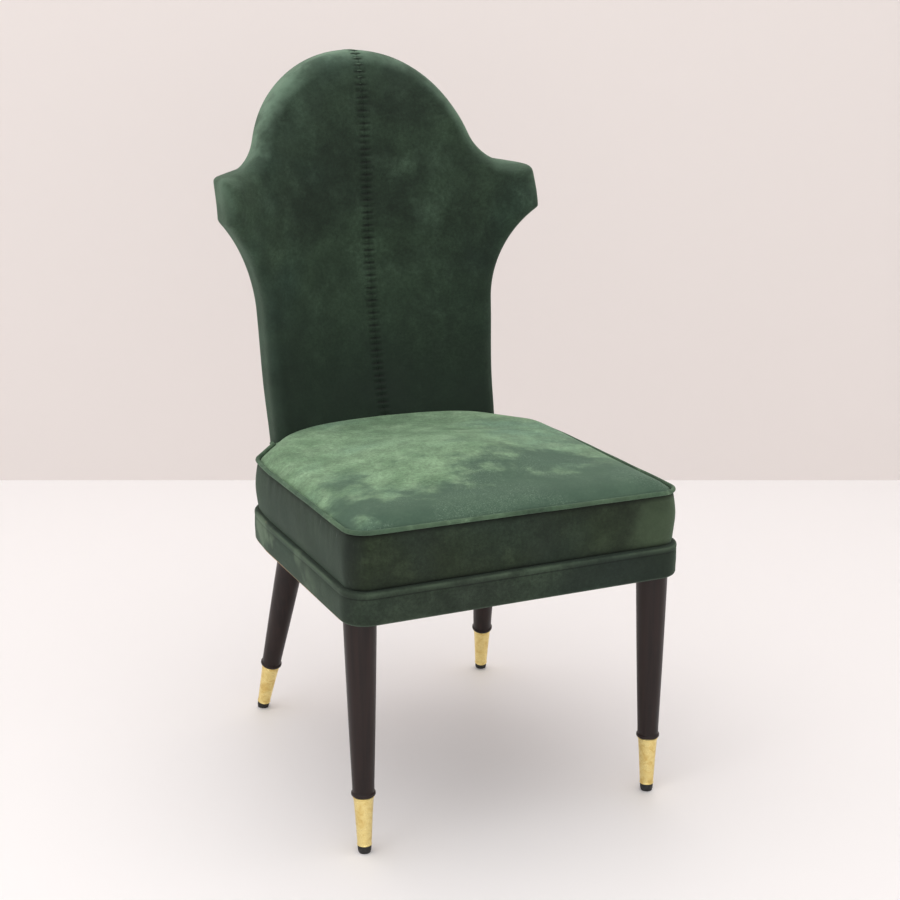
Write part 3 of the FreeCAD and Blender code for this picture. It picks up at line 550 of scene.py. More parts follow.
def cut_away(thing, place, direction):
    """Everything on the side that the direction points to is cut off."""
    select_only(thing)
    bpy.ops.object.mode_set(mode="EDIT")
    bpy.ops.mesh.select_all(action="SELECT")
    bpy.ops.mesh.bisect(plane_co=place, plane_no=direction, clear_outer=True, clear_inner=False,
                        use_fill=True)
    bpy.ops.object.mode_set(mode="OBJECT")


def smooth_shading(thing, degrees=40):
    select_only(thing)
    bpy.ops.object.shade_smooth_by_angle(angle=math.radians(degrees))


PAD_GRAIN = 0.004
pad = slab("back_pad", back_edge(FOOT_HEIGHT), BACK_DEPTH, PAD_GRAIN)
pad_line = back_edge(0.300)
places = corners_of(pad)
edge_away, edge_inward = edge_distance(places[:, 0], places[:, 2], pad_line)
for radius, turned in ((FRONT_ROUND, False), (REAR_ROUND, True)):
    depth = BACK_DEPTH - places[:, 1] if turned else places[:, 1]
    new_away, new_depth = rounded_edge(edge_away, depth, radius)
    places[:, 0] += edge_inward[:, 0] * (new_away - edge_away)
    places[:, 2] += edge_inward[:, 1] * (new_away - edge_away)
    places[:, 1] = BACK_DEPTH - new_depth if turned else new_depth
    edge_away = new_away
set_corners(pad, places)
select_only(pad)
bpy.ops.object.mode_set(mode="EDIT")
bpy.ops.mesh.select_all(action="SELECT")
bpy.ops.mesh.vertices_smooth(factor=0.5, repeat=3)
bpy.ops.mesh.select_all(action="DESELECT")
bpy.ops.object.mode_set(mode="OBJECT")
for face in pad.data.polygons:
    face.select = abs(face.center.x) < 0.015 and face.center.y < 0.055
bpy.ops.object.mode_set(mode="EDIT")
bpy.ops.mesh.subdivide(number_cuts=2, quadcorner="INNERVERT")
bpy.ops.object.mode_set(mode="OBJECT")

# The cover's wear is greatest along its rounded edges, and grows towards the top of the arch, where the
# paler rim is painted highlight as well.
places = corners_of(pad)
edge_away, edge_inward = edge_distance(places[:, 0], places[:, 2], pad_line)
back_wear_and_highlight = np.clip(1 - edge_away / 0.022, 0, 1) * np.clip((places[:, 2] - 0.80) / 0.14, 0.12, 1)

# The seam in the middle is pulled in by its stitches, and the hide puffs up a little between them.
STITCH_STEP = 0.010
seam_depth = [(0.0, z) for z in np.arange(0.500, 1.046, 0.001)]
seam_depth += [(0.024 - 0.024 * math.cos(a), 1.046 + 0.024 * math.sin(a))
               for a in np.linspace(0, math.pi / 2, 38)]
seam_depth += [(d, 1.070) for d in np.arange(0.025, 0.047, 0.001)]
seam_line = np.array(seam_depth)
seam_run = np.concatenate(([0], np.cumsum(np.hypot(*np.diff(seam_line, axis=0).T))))
near = np.abs(places[:, 0]) < 0.03
run = np.zeros(len(places))
gap = np.full(len(places), 9.0)
for (depth, height), length in zip(seam_line, seam_run):
    away = np.hypot(places[:, 1] - depth, places[:, 2] - height)
    nearer = near & (away < gap)
    gap[nearer], run[nearer] = away[nearer], length
on_seam = near & (gap < 0.004)
beat = 0.5 + 0.5 * np.cos(2 * math.pi * (run + 0.0006) / STITCH_STEP)
across_seam = np.exp(-(places[:, 0] / 0.0100) ** 4) * on_seam
groove = across_seam * beat ** 2 * 0.0021 - across_seam * (1 - beat) ** 2 * 0.0007
groove += np.exp(-(places[:, 0] / 0.0020) ** 2) * 0.0006 * on_seam
# Where the painted shadow lies just below each stitch, along the seam.
stitch_shadow_offset = (run + 0.0019 + STITCH_STEP / 2) % STITCH_STEP - STITCH_STEP / 2
crown = 0.0035 * (1 - np.clip(1 - edge_away / 0.10, 0, 1) ** 2) * (places[:, 1] < 0.004)
places[:, 1] -= crown
flat = places.copy()
places[:, 1] = wrap(flat[:, 0], flat[:, 1], flat[:, 2])
set_corners(pad, places)
normals = np.empty(len(places) * 3)
pad.data.vertices.foreach_get("normal", normals)
normals = normals.reshape(-1, 3)
places -= normals * groove[:, None]
set_corners(pad, places)


def mark(thing, name, values):
    """Keeps a value for each corner of the mesh, for its material."""
    layer = thing.data.attributes.new(name, "FLOAT", "POINT")
    layer.data.foreach_set("value", np.asarray(values, dtype=np.float32))


mark(pad, "wear_and_highlight", back_wear_and_highlight)
# Painted shadow just below each stitch, and a faint one along the gap between the hides.
mark(pad, "seam_shadow", across_seam * np.exp(-(stitch_shadow_offset / 0.0015) ** 2)
     + 0.25 * on_seam * np.exp(-(flat[:, 0] / 0.0011) ** 2))

# Each front hide turns in behind the edge and stops, and the wooden frame fills the room behind it.
BOARD_FACE, TURN_IN, FRONT_FOOT, SEAM_GAP = 0.0348, 0.0082, 0.4005, 0.0002


def back_sheet(name, away, depth, groove_share):
    """The pad's surface with other distances from the edge and other depths."""
    twin = copy_of(pad, name)
    spots = flat.copy()
    spots[:, 0] += edge_inward[:, 0] * (away - edge_away)
    spots[:, 2] += edge_inward[:, 1] * (away - edge_away)
    spots[:, 1] = wrap(spots[:, 0], depth, spots[:, 2])
    set_corners(twin, spots - normals * groove[:, None] * groove_share)
    return twin


behind = flat[:, 1] > REAR_SEAM - 0.001
front_depth = np.where(behind, np.where(edge_away > TURN_IN, BOARD_FACE, REAR_SEAM - 0.001), flat[:, 1])
front_pad = back_sheet("front_pad", edge_away, front_depth, 1)
cut_away(front_pad, (0, 0, FRONT_FOOT), (0, 0, -1))
for name, node, side in (("inside_right_hide", "inside_back_right", -1),
                         ("inside_left_hide", "inside_back_left", 1)):
    half = copy_of(front_pad, name)
    cut_away(half, (-side * SEAM_GAP, 0, 0), (side, 0, 0))
    half.data.materials.append(back_hide)
    smooth_shading(half, 50)
    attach(half, "root")
    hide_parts(node, "back_foam", "back_webbing")
bpy.data.objects.remove(front_pad)

# The rear hide is closed in front by a flat face, set in a little from the edge.
PANEL_FACE, PANEL_SET_IN = REAR_SEAM + 0.0012, 0.0037
panel_front = flat[:, 1] < PANEL_FACE
panel = back_sheet("outside_panel_hide",
                   np.where(panel_front, np.maximum(edge_away, PANEL_SET_IN), edge_away),
                   np.where(panel_front, PANEL_FACE, flat[:, 1]), 0)
bpy.data.objects.remove(pad)
select_only(panel)
bpy.ops.object.mode_set(mode="EDIT")
bpy.ops.mesh.select_all(action="SELECT")
bpy.ops.mesh.remove_doubles(threshold=0.0002)
bpy.ops.mesh.normals_make_consistent(inside=False)
bpy.ops.object.mode_set(mode="OBJECT")
panel.data.materials.append(back_hide)
smooth_shading(panel, 50)
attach(panel, "root")
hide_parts("outside_back")

# ---------------------------------------------------------------------------------------------------
# The seam in the middle of the back: a row of cross stitches in thick waxed thread, one centimetre
# apart, from just above the seat over the top of the arch. Each bridges the two edges of the hides.
# ---------------------------------------------------------------------------------------------------
def bump_from(tree, shader, height, distance, strength=0.5):
    bump = add_node(tree, "ShaderNodeBump")
    bump.inputs["Strength"].default_value = strength
    bump.inputs["Distance"].default_value = distance
    tree.links.new(height, bump.inputs["Height"])
    tree.links.new(bump.outputs["Normal"], shader.inputs["Normal"])


thread, tree, shader = new_material("waxed_thread")
coat = add_node(tree, "ShaderNodeTexCoord").outputs["Object"]
twist = add_node(tree, "ShaderNodeTexWave", wave_type="BANDS", bands_direction="DIAGONAL")
twist.inputs["Scale"].default_value = 420
twist.inputs["Distortion"].default_value = 1.5
tree.links.new(coat, twist.inputs["Vector"])
wax = spread(tree, noise(tree, coat, 160, 3), 0.3, 0.7)
tree.links.new(mixed(tree, wax, linear(44, 62, 48), linear(74, 98, 78)), shader.inputs["Base Color"])
tree.links.new(spread(tree, twist.outputs["Fac"], 0, 1, 0.45, 0.7), shader.inputs["Roughness"])
bump_from(tree, shader, twist.outputs["Fac"], 0.0003)

STITCH_SIZE = (0.0088, 0.0013, 0.0012)
deselect()
bpy.ops.mesh.primitive_uv_sphere_add(segments=8, ring_count=10, radius=1)
first = bpy.context.object
bpy.ops.object.mode_set(mode="EDIT")
bpy.ops.mesh.select_all(action="SELECT")
bpy.ops.transform.rotate(value=math.pi / 2, orient_axis="Y", center_override=(0, 0, 0))
bpy.ops.transform.resize(value=STITCH_SIZE)
bpy.ops.object.mode_set(mode="OBJECT")
stitch_shape = corners_of(first)
stitch_shape[:, 2] -= 14 * stitch_shape[:, 0] ** 2 + 0.0004
stitches = []
count = int(seam_run[-1] / STITCH_STEP)
for number in range(1, count + 1):
    at = number * STITCH_STEP
    depth, height = (np.interp(at, seam_run, seam_line[:, i]) for i in (0, 1))
    later = [np.interp(at + 0.001, seam_run, seam_line[:, i]) for i in (0, 1)]
    here = np.array((0, wrap(0.0, depth, height), height))
    along = np.array((0, wrap(0.0, later[0], later[1]), later[1])) - here
    along /= np.linalg.norm(along)
    out = np.cross((1, 0, 0), along)
    lean = 0.05 * math.sin(number * 2.4)
    across = np.array((math.cos(lean), *(along[1:] * math.sin(lean))))
    stitch = copy_of(first, "stitch")
    set_corners(stitch, here + stitch_shape[:, :1] * across + stitch_shape[:, 1:2] * along
                + stitch_shape[:, 2:] * out)
    stitches.append(stitch)
bpy.data.objects.remove(first)
deselect()
for stitch in stitches:
    stitch.select_set(True)
bpy.context.view_layer.objects.active = stitches[0]
bpy.ops.object.join()
seam_thread = finish_object(bpy.context.object, "centre_stitches")
seam_thread.data.materials.append(thread)
smooth_shading(seam_thread, 80)
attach(seam_thread, "root")
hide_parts("back_stitching")

# ---------------------------------------------------------------------------------------------------
# The seat cushion: foam under a nubuck top, domed in the middle, that spreads a little over its welt.
# It is blown up as cloth, with its rim held, so that the hide lies as it does over soft foam.
# ---------------------------------------------------------------------------------------------------
SEAT_FRONT, SEAT_HALF, SEAT_REAR = 0.333, 0.260, 0.188
FRONT_CORNER, SIDE_BEND, REAR_CORNER = 0.037, 0.730, 0.060
BEND_START, BEND_TURN, REAR_TURN = -0.002, 6, 35.5
EDGE_STEP = 0.004    # about how far apart the points of seat_edge are
WELT_HEIGHT = (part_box("seat_welt_cover")[0][2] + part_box("seat_welt_cover")[1][2]) / 2
SEAT_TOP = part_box("seat_top_panel")[1][2]


def welt_rise(x, y):
    """The welt's height: the cushion's rim stands highest at the front, more so on the left."""
    return WELT_HEIGHT - 0.0106 * y - 0.006 * x


def seat_edge(inset):
    """The seat's edge from its left rear, round the front, to its right rear."""
    corner, bend, turn = FRONT_CORNER - inset, SIDE_BEND - inset, REAR_CORNER - inset
    half, front = SEAT_HALF - inset, -SEAT_FRONT + inset
    line = [(0, front)] + straight((0, front), (half - corner, front), 56)
    line += swing(half - corner, front + corner, corner, -90, 0, 12)
    line += straight((half, front + corner), (half, BEND_START), 72)
    line += swing(half - bend, BEND_START, bend, 0, BEND_TURN, 18)
    middle = math.radians(BEND_TURN)
    cx = half - bend + (bend - turn) * math.cos(middle)
    cy = BEND_START + (bend - turn) * math.sin(middle)
    line += swing(cx, cy, turn, BEND_TURN, REAR_TURN, 8)
    x, y = line[-1]
    last = math.radians(90 + REAR_TURN)
    far = (SEAT_REAR - y) / math.sin(last)
    line += straight((x, y), (x + far * math.cos(last), SEAT_REAR), 24)
    return [(-x, y) for x, y in reversed(line[1:])] + line


def back_at(spots):
    """Where points lie in the flat pad: distance from its side edge, and depth."""
    x, y, z = spots[:, 0], spots[:, 1], spots[:, 2]
    radius = np.interp(z, RISE, CURL)
    depth = np.hypot(y - np.interp(z, RISE, MIDDLE) + radius, x) - radius
    side = half_width(z) - np.abs(x)
    return side, depth


def clear_of_back(spots, room):
    """Moves points out of the back, as a soft cushion gives way where it presses against it."""
    spots = spots.copy()
    side, depth = back_at(spots)
    deep = 0.075

    def inside(a, d):
        rounded = np.where((a < FRONT_ROUND) & (d < FRONT_ROUND),
                           FRONT_ROUND - np.hypot(FRONT_ROUND - a, FRONT_ROUND - d), np.minimum(a, d))
        return rounded > -room

    hit = inside(side, depth) & (depth < deep)
    share_low = np.ones(hit.sum())
    share_high = np.full(hit.sum(), 80.0)
    a, d = side[hit], depth[hit]
    centre = np.where(a < deep, deep, a)
    for _ in range(40):
        share = (share_low + share_high) / 2
        still = inside(centre + (a - centre) * share, deep + (d - deep) * share)
        share_low, share_high = np.where(still, share, share_low), np.where(still, share_high, share)
    new_a, new_d = centre + (a - centre) * share_high, deep + (d - deep) * share_high
    z = spots[hit, 2]
    spots[hit, 0] = np.sign(spots[hit, 0]) * (half_width(z) - new_a)
    spots[hit, 1] = wrap(spots[hit, 0], new_d, z)
    return spots


def outline(name, corners):
    """A ring of edges through these places."""
    deselect()
    bpy.ops.mesh.primitive_circle_add(vertices=len(corners), radius=0.2)
    thing = bpy.context.object
    thing.name = name
    thing.location = (0, 0, 0)
    for vertex, place in zip(thing.data.vertices, corners):
        vertex.co = place
    return thing


CUSHION_INSET, CUSHION_FOOT, CUSHION_GRAIN = 0.0112, 0.450, 0.0055
DOME_RADIUS, DOME_FORWARD, SOFTNESS, MOST_MOVED, CLOTH_FRAMES = 0.700, 0.085, 0.004, 0.007, 20
rim = seat_edge(CUSHION_INSET)
cushion = outline("seat_cushion", [(x, y, CUSHION_FOOT) for x, y in rim])
bpy.ops.object.mode_set(mode="EDIT")
bpy.ops.mesh.select_all(action="SELECT")
bpy.ops.mesh.edge_face_add()
bpy.ops.mesh.extrude_region_move(TRANSFORM_OT_translate={"value": (0, 0, WELT_HEIGHT - CUSHION_FOOT)})
bpy.ops.mesh.select_all(action="SELECT")
bpy.ops.mesh.normals_make_consistent(inside=False)
bpy.ops.object.mode_set(mode="OBJECT")
cushion.data.remesh_voxel_size = CUSHION_GRAIN
bpy.ops.object.voxel_remesh()
places = corners_of(cushion)
rim_away, _ = edge_distance(places[:, 0], places[:, 1], rim)
on_top = places[:, 2] > WELT_HEIGHT - 0.003
seat_rim = welt_rise(places[:, 0], places[:, 1])
dome = SEAT_TOP - 0.0065 - DOME_RADIUS
dome += np.sqrt(0.49 - places[:, 0] ** 2 - (places[:, 1] + DOME_FORWARD) ** 2)
fuller = np.clip((places[:, 1] + 0.16) / 0.22, 0, 1)
low_pad = seat_rim + (0.019 + 0.006 * fuller) * (1 - np.exp(-rim_away / 0.018))
top = SOFTNESS * np.logaddexp(dome / SOFTNESS, low_pad / SOFTNESS) - 0.0005
lip = np.clip(1 - rim_away / 0.022, 0, 1)
top = seat_rim + (top - seat_rim) * (1 - lip ** 2.6)
places[on_top, 2] = top[on_top]
places = clear_of_back(places, 0.001)
set_corners(cushion, places)
rest = places.copy()
held = cushion.vertex_groups.new(name="held")
behind_front = back_at(places)[1] > -0.004
fixed = np.nonzero(~on_top | (rim_away < 0.004) | behind_front)[0].tolist()
held.add(fixed, 1.0, "REPLACE")
select_only(cushion)
bpy.ops.object.modifier_add(type="CLOTH")
cloth = cushion.modifiers[-1]
cloth.settings.vertex_group_mass = "held"
cloth.settings.effector_weights.gravity = 0
cloth.settings.use_pressure = True
cloth.settings.uniform_pressure_force = 4
cloth.settings.tension_stiffness = 20
cloth.settings.bending_stiffness = 2
cloth.point_cache.frame_start, cloth.point_cache.frame_end = 1, CLOTH_FRAMES
for frame_number in range(1, CLOTH_FRAMES + 1):
    scene.frame_set(frame_number)
bpy.ops.object.modifier_apply(modifier=cloth.name)
scene.frame_set(1)
moved = corners_of(cushion) - rest
reach = np.linalg.norm(moved, axis=1)
limited = MOST_MOVED * np.tanh(reach / MOST_MOVED)
share = np.where(reach > 1e-9, limited / np.maximum(reach, 1e-9), 1)
set_corners(cushion, clear_of_back(rest + moved * share[:, None], 0.0006))
cushion.vertex_groups.clear()
select_only(cushion)
bpy.ops.object.mode_set(mode="EDIT")
bpy.ops.mesh.select_all(action="SELECT")
bpy.ops.mesh.vertices_smooth(factor=0.5, repeat=2)
bpy.ops.object.mode_set(mode="OBJECT")
bpy.ops.object.modifier_add(type="SUBSURF")
cushion.modifiers[-1].levels = cushion.modifiers[-1].render_levels = 1
bpy.ops.object.modifier_apply(modifier=cushion.modifiers[-1].name)
places = corners_of(cushion)
rim_away, _ = edge_distance(places[:, 0], places[:, 1], rim)
mark(cushion, "wear_and_highlight", np.clip(1 - rim_away / 0.012, 0, 1) * 0.1)
mark(cushion, "seam_shadow", np.zeros(len(places)))
cushion.data.materials.append(seat_hide)
smooth_shading(cushion, 60)
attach(cushion, "root")
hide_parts("seat_top_panel", "seat_batting", "seat_foam", "deck_cloth")

# ---------------------------------------------------------------------------------------------------
# The sides of the seat: a strip of hide sewn to the welt above and nailed to the frame below. It is
# pushed out a little by the foam. The welt is piping, a cord sewn into a narrow strip of hide.
# ---------------------------------------------------------------------------------------------------
ROW_STEP = 0.001


def outwards(line):
    """The direction away from the seat at each point of its edge."""
    points = np.array(line)
    along = np.gradient(points, axis=0)
    along /= np.linalg.norm(along, axis=1)[:, None]
    return np.stack((along[:, 1], -along[:, 0]), axis=1)


def open_ring(thing):
    """Takes away the edge between a ring's last corner and its first. It leaves edges to be selected."""
    last = len(thing.data.vertices) - 1
    select_only(thing)
    bpy.ops.object.mode_set(mode="EDIT")
    bpy.ops.mesh.select_mode(type="EDGE")
    bpy.ops.mesh.select_all(action="DESELECT")
    bpy.ops.object.mode_set(mode="OBJECT")
    for edge in thing.data.edges:
        edge.select = set(edge.vertices) == {0, last}
    bpy.ops.object.mode_set(mode="EDIT")
    bpy.ops.mesh.delete(type="EDGE")


def strip(name, inset, rows):
    """A strip round the seat. Each row gives how far it stands out from the line, and its height."""
    line = seat_edge(inset)
    away = outwards(line)
    thing = outline(name, [(x, y, 0) for x, y in line])
    open_ring(thing)
    bpy.ops.mesh.select_all(action="SELECT")
    for _ in rows[1:]:
        bpy.ops.mesh.extrude_edges_move(TRANSFORM_OT_translate={"value": (0, 0, ROW_STEP)})
    bpy.ops.mesh.select_mode(type="VERT")
    bpy.ops.object.mode_set(mode="OBJECT")
    spots = corners_of(thing)
    level = np.rint(spots[:, 2] / ROW_STEP).astype(int)
    nearest = np.argmin(((spots[:, None, :2] - np.array(line)[None]) ** 2).sum(axis=2), axis=1)
    table = np.array(rows)
    spots[:, :2] += away[nearest] * table[level, :1]
    spots[:, 2] = table[level, 1]
    set_corners(thing, spots)
    return thing, level, nearest, away


def thicken(thing, thickness):
    """Gives a sheet its thickness, on its inner side."""
    select_only(thing)
    bpy.ops.object.mode_set(mode="EDIT")
    bpy.ops.mesh.select_all(action="SELECT")
    bpy.ops.mesh.normals_make_consistent(inside=False)
    bpy.ops.object.mode_set(mode="OBJECT")
    bpy.ops.object.modifier_add(type="SOLIDIFY")
    wall = thing.modifiers[-1]
    wall.thickness, wall.offset, wall.use_even_offset = thickness, -1, False
    bpy.ops.object.modifier_apply(modifier=wall.name)


BOXING_INSET, BOXING_FOOT, BOXING_BULGE, BOXING_WIDTH = 0.0084, 0.3981, 0.0046, 0.078
box_rows = [(BOXING_BULGE * math.sin(math.pi * t) ** 0.75,
             BOXING_FOOT + (WELT_HEIGHT - 0.0028 - BOXING_FOOT) * t) for t in np.linspace(0, 1, 19)]
boxing, level, nearest, away = strip("seat_side_hide", BOXING_INSET, box_rows)
spots = corners_of(boxing)
for index, spot in enumerate(spots):
    share = level[index] / (len(box_rows) - 1)
    run = nearest[index] * EDGE_STEP
    pucker = ripples.noise(Vector((run * 60, share * 1.4, 3.1))) * 0.0007 * share ** 2
    slow = ripples.noise(Vector((run * 11, share * 2.2, 8.4))) * 0.0016 * math.sin(math.pi * share)
    spot[:2] += away[nearest[index]] * (pucker + slow)
    spot[2] += share * (welt_rise(spot[0], spot[1]) - WELT_HEIGHT)
spots = clear_of_back(spots, 0.0008)
set_corners(boxing, spots)
mark(boxing, "wear_and_highlight", np.zeros(len(spots)))
# Painted shadow along the foot, beside the proud band, and along the top, under the welt.
mark(boxing, "seam_shadow", np.clip(np.maximum(1 - level / 1.2, (level - len(box_rows) + 3) / 2.0), 0, 1))
thicken(boxing, 0.0022)
boxing.data.materials.append(boxing_hide)
smooth_shading(boxing, 60)
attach(boxing, "root")
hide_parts("seat_boxing")
strip_length = float(np.hypot(*np.diff(np.array(seat_edge(BOXING_INSET)), axis=0).T).sum())

WELT_INSET, WELT_RADIUS = 0.0078, 0.0033
welt_line = seat_edge(WELT_INSET)
welt_places = np.array([(x, y, welt_rise(x, y)) for x, y in welt_line])
for index, spot in enumerate(welt_places):
    spot[2] += ripples.noise(Vector((index * 0.05, 0, 5.0))) * 0.0008
welt_places = clear_of_back(welt_places, WELT_RADIUS + 0.0008)
welt = outline("seat_welt_hide", [tuple(spot) for spot in welt_places])
open_ring(welt)
bpy.ops.mesh.select_mode(type="VERT")
bpy.ops.object.mode_set(mode="OBJECT")
bpy.ops.object.convert(target="CURVE")
welt.data.bevel_depth = WELT_RADIUS
welt.data.bevel_resolution = 3
welt.data.use_fill_caps = True
bpy.ops.object.convert(target="MESH")
welt = finish_object(bpy.context.object, "seat_welt_hide")
mark(welt, "wear_and_highlight", np.full(len(welt.data.vertices), 0.35))
mark(welt, "seam_shadow", np.zeros(len(welt.data.vertices)))
welt.data.materials.append(welt_hide)
smooth_shading(welt, 80)
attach(welt, "root")
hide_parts("seat_welt_cover", "seat_welt_cord")

# ---------------------------------------------------------------------------------------------------
# The band: a strip of hide glued over the seat's wooden rails. It stands a little proud of the sides
# above it, with a turned and sewn upper edge, and is folded round the rails' lower edge.
# ---------------------------------------------------------------------------------------------------
BAND_INSET, BAND_FOOT, BAND_TOP, FOLD, BAND_WIDTH = 0.0012, 0.3490, 0.3976, 0.0055, 0.072
band_rows = [(-0.0095, BAND_FOOT)]
band_rows += [(0.0005 - FOLD + FOLD * math.sin(a), BAND_FOOT + FOLD - FOLD * math.cos(a))
              for a in np.linspace(0, math.pi / 2, 7)]
band_rows += [(0.0008, 0.364), (0.0012, 0.372), (0.0010, 0.380), (0.0007, 0.3868), (0.0001, 0.3882),
              (0.0007, 0.3896), (0.0009, 0.3925), (0.0003, 0.3956), (-0.0008, 0.3969),
              (-0.0022, 0.3975), (-0.0045, BAND_TOP), (-0.0090, BAND_TOP), (-0.0132, BAND_TOP)]
band, level, nearest, away = strip("rail_band_hide", BAND_INSET, band_rows)
spots = corners_of(band)
for index, spot in enumerate(spots):
    slow = ripples.noise(Vector((nearest[index] * 0.05, spot[2] * 30, 2.2))) * 0.0007
    if 3 < level[index] < 15:
        spot[:2] += away[nearest[index]] * slow
set_corners(band, spots)
# Paler along the rounded upper edge, row 15: painted highlight where it catches the light. The folded
# lower edge gets some wear.
mark(band, "wear_and_highlight", np.clip(1 - np.abs(level - 15) / 1.6, 0, 1) * 0.8 + (level == 5) * 0.3)
# Painted shade in the sewn groove, row 12, and along the upper edge where it turns in under the side
# strip.
mark(band, "seam_shadow", np.clip(1 - np.abs(level - 12) / 0.9, 0, 1) * 0.8 + (level > 17) * 1.0)
thicken(band, 0.0020)
band.data.materials.append(band_hide)
smooth_shading(band, 60)
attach(band, "root")
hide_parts("rail_cover")
band_run = float(np.hypot(*np.diff(np.array(seat_edge(0.0)), axis=0).T).sum())

# ---------------------------------------------------------------------------------------------------
# The legs: turned from wood and stained nearly black, in a satin finish, with a ring above the foot.
# The feet: a tapered brass sleeve with a rolled rim at each end, over a black rubber tip.
# ---------------------------------------------------------------------------------------------------
LEG_TOP = 0.3497


def turned(name, profile, foot, lean, top=None):
    """A turned piece: a closed outline of radius and height, spun about the leg's own line."""
    deselect()
    bpy.ops.mesh.primitive_circle_add(vertices=len(profile), radius=0.05)
    thing = bpy.context.object
    thing.location = (0, 0, 0)
    for vertex, (radius, height) in zip(thing.data.vertices, profile):
        vertex.co = (radius, 0, height)
    bpy.ops.object.mode_set(mode="EDIT")
    bpy.ops.mesh.select_all(action="SELECT")
    bpy.ops.mesh.spin(steps=56, angle=2 * math.pi, center=(0, 0, 0), axis=(0, 0, 1))
    bpy.ops.mesh.select_all(action="SELECT")
    bpy.ops.mesh.remove_doubles(threshold=0.00002)
    bpy.ops.mesh.normals_make_consistent(inside=False)
    bpy.ops.object.mode_set(mode="OBJECT")
    direction = Vector((lean[0], lean[1], 1)).normalized()
    thing.rotation_mode = "QUATERNION"
    thing.rotation_quaternion = Vector((0, 0, 1)).rotation_difference(direction)
    thing.location = foot
    finish_object(thing, name)
    if top is not None:
        cut_away(thing, (0, 0, top), (0, 0, 1))
    cut_away(thing, (0, 0, 0.0001), (0, 0, -1))
    smooth_shading(thing, 32)
    return thing


def lobe(radius, height, size, start, end, count=6):
    """A rounded corner in a turned outline."""
    return [(radius + size * math.cos(a), height + size * math.sin(a))
            for a in np.radians(np.linspace(start, end, count))]


leg_outline = [(0, 0.0115), (0.0086, 0.0115), (0.0130, 0.0870), (0.0150, 0.0873)]
leg_outline += lobe(0.0154, 0.0893, 0.0018, -75, 0, 5)
leg_outline += lobe(0.0154, 0.0911, 0.0018, 0, 75, 5)
leg_outline += [(0.0156, 0.0931), (0.0155, 0.0942), (0.0157, 0.105)]
leg_outline += [(0.0157 + 0.0078 * t + 0.0004 * math.sin(math.pi * t), 0.105 + 0.257 * t)
                for t in np.linspace(0.06, 1, 16)]
leg_outline += [(0, 0.400)]
sleeve_outline = [(0.0088, 0.0110), (0.0098, 0.0109)]
sleeve_outline += lobe(0.0098, 0.0121, 0.0009, -70, 50, 4)
sleeve_outline += [(0.0102, 0.0133), (0.0102, 0.0146), (0.0124, 0.0560), (0.0142, 0.0826),
                   (0.0143, 0.0836)]
sleeve_outline += lobe(0.0142, 0.0852, 0.0012, -60, 60, 5)
sleeve_outline += [(0.0142, 0.0866), (0.0141, 0.0871), (0.0133, 0.0871)]
tip_outline = [(0, -0.004), (0.0084, -0.004), (0.0086, 0.0012), (0.0094, 0.0030), (0.0098, 0.0092),
               (0.0092, 0.0105), (0, 0.0105)]

stain, tree, shader = new_material("stained_wood")
coat = add_node(tree, "ShaderNodeTexCoord").outputs["Object"]
stretch = add_node(tree, "ShaderNodeMapping")
stretch.inputs["Scale"].default_value = (150, 150, 9)
tree.links.new(coat, stretch.inputs["Vector"])
figure = noise(tree, stretch.outputs[0], 1.0, 6, 0.6, 0.5)
rings = noise(tree, stretch.outputs[0], 0.24, 3, 0.5, 0.8)
base = mixed(tree, spread(tree, figure, 0.35, 0.68), linear(24, 14, 12), linear(37, 23, 20))
base = mixed(tree, times(tree, spread(tree, rings, 0.45, 0.7), 0.5), base, linear(38, 26, 23))
tree.links.new(base, shader.inputs["Base Color"])
tree.links.new(spread(tree, figure, 0.3, 0.7, 0.34, 0.48), shader.inputs["Roughness"])
shader.inputs["Specular IOR Level"].default_value = 0.25
shader.inputs["Coat Weight"].default_value = 0.1
shader.inputs["Coat Roughness"].default_value = 0.3
bump_from(tree, shader, figure, 0.0004, 0.25)

brass, tree, shader = new_material("satin_brass")
coat = add_node(tree, "ShaderNodeTexCoord").outputs["Object"]
rubs = add_node(tree, "ShaderNodeMapping")
rubs.inputs["Scale"].default_value = (120, 120, 2600)
tree.links.new(coat, rubs.inputs["Vector"])
brushed = noise(tree, rubs.outputs[0], 1.0, 3, 0.6)
tarnish = noise(tree, coat, 85, 5, 0.65, 0.5)
base = mixed(tree, spread(tree, tarnish, 0.42, 0.7), linear(240, 219, 150), linear(220, 190, 116))
tree.links.new(base, shader.inputs["Base Color"])
rough = calc(tree, "ADD", spread(tree, tarnish, 0.3, 0.7, 0.20, 0.34),
             spread(tree, brushed, 0.2, 0.8, 0.0, 0.08))
tree.links.new(rough, shader.inputs["Roughness"])
shader.inputs["Metallic"].default_value = 1
bump_from(tree, shader, brushed, 0.0001, 0.15)

rubber, tree, shader = new_material("foot_rubber")
coat = add_node(tree, "ShaderNodeTexCoord").outputs["Object"]
scuffs = noise(tree, coat, 240, 4, 0.7)
tree.links.new(mixed(tree, spread(tree, scuffs, 0.5, 0.75), linear(24, 24, 24), linear(52, 50, 48)),
               shader.inputs["Base Color"])
tree.links.new(spread(tree, scuffs, 0.3, 0.7, 0.55, 0.75), shader.inputs["Roughness"])
bump_from(tree, shader, scuffs, 0.0003)

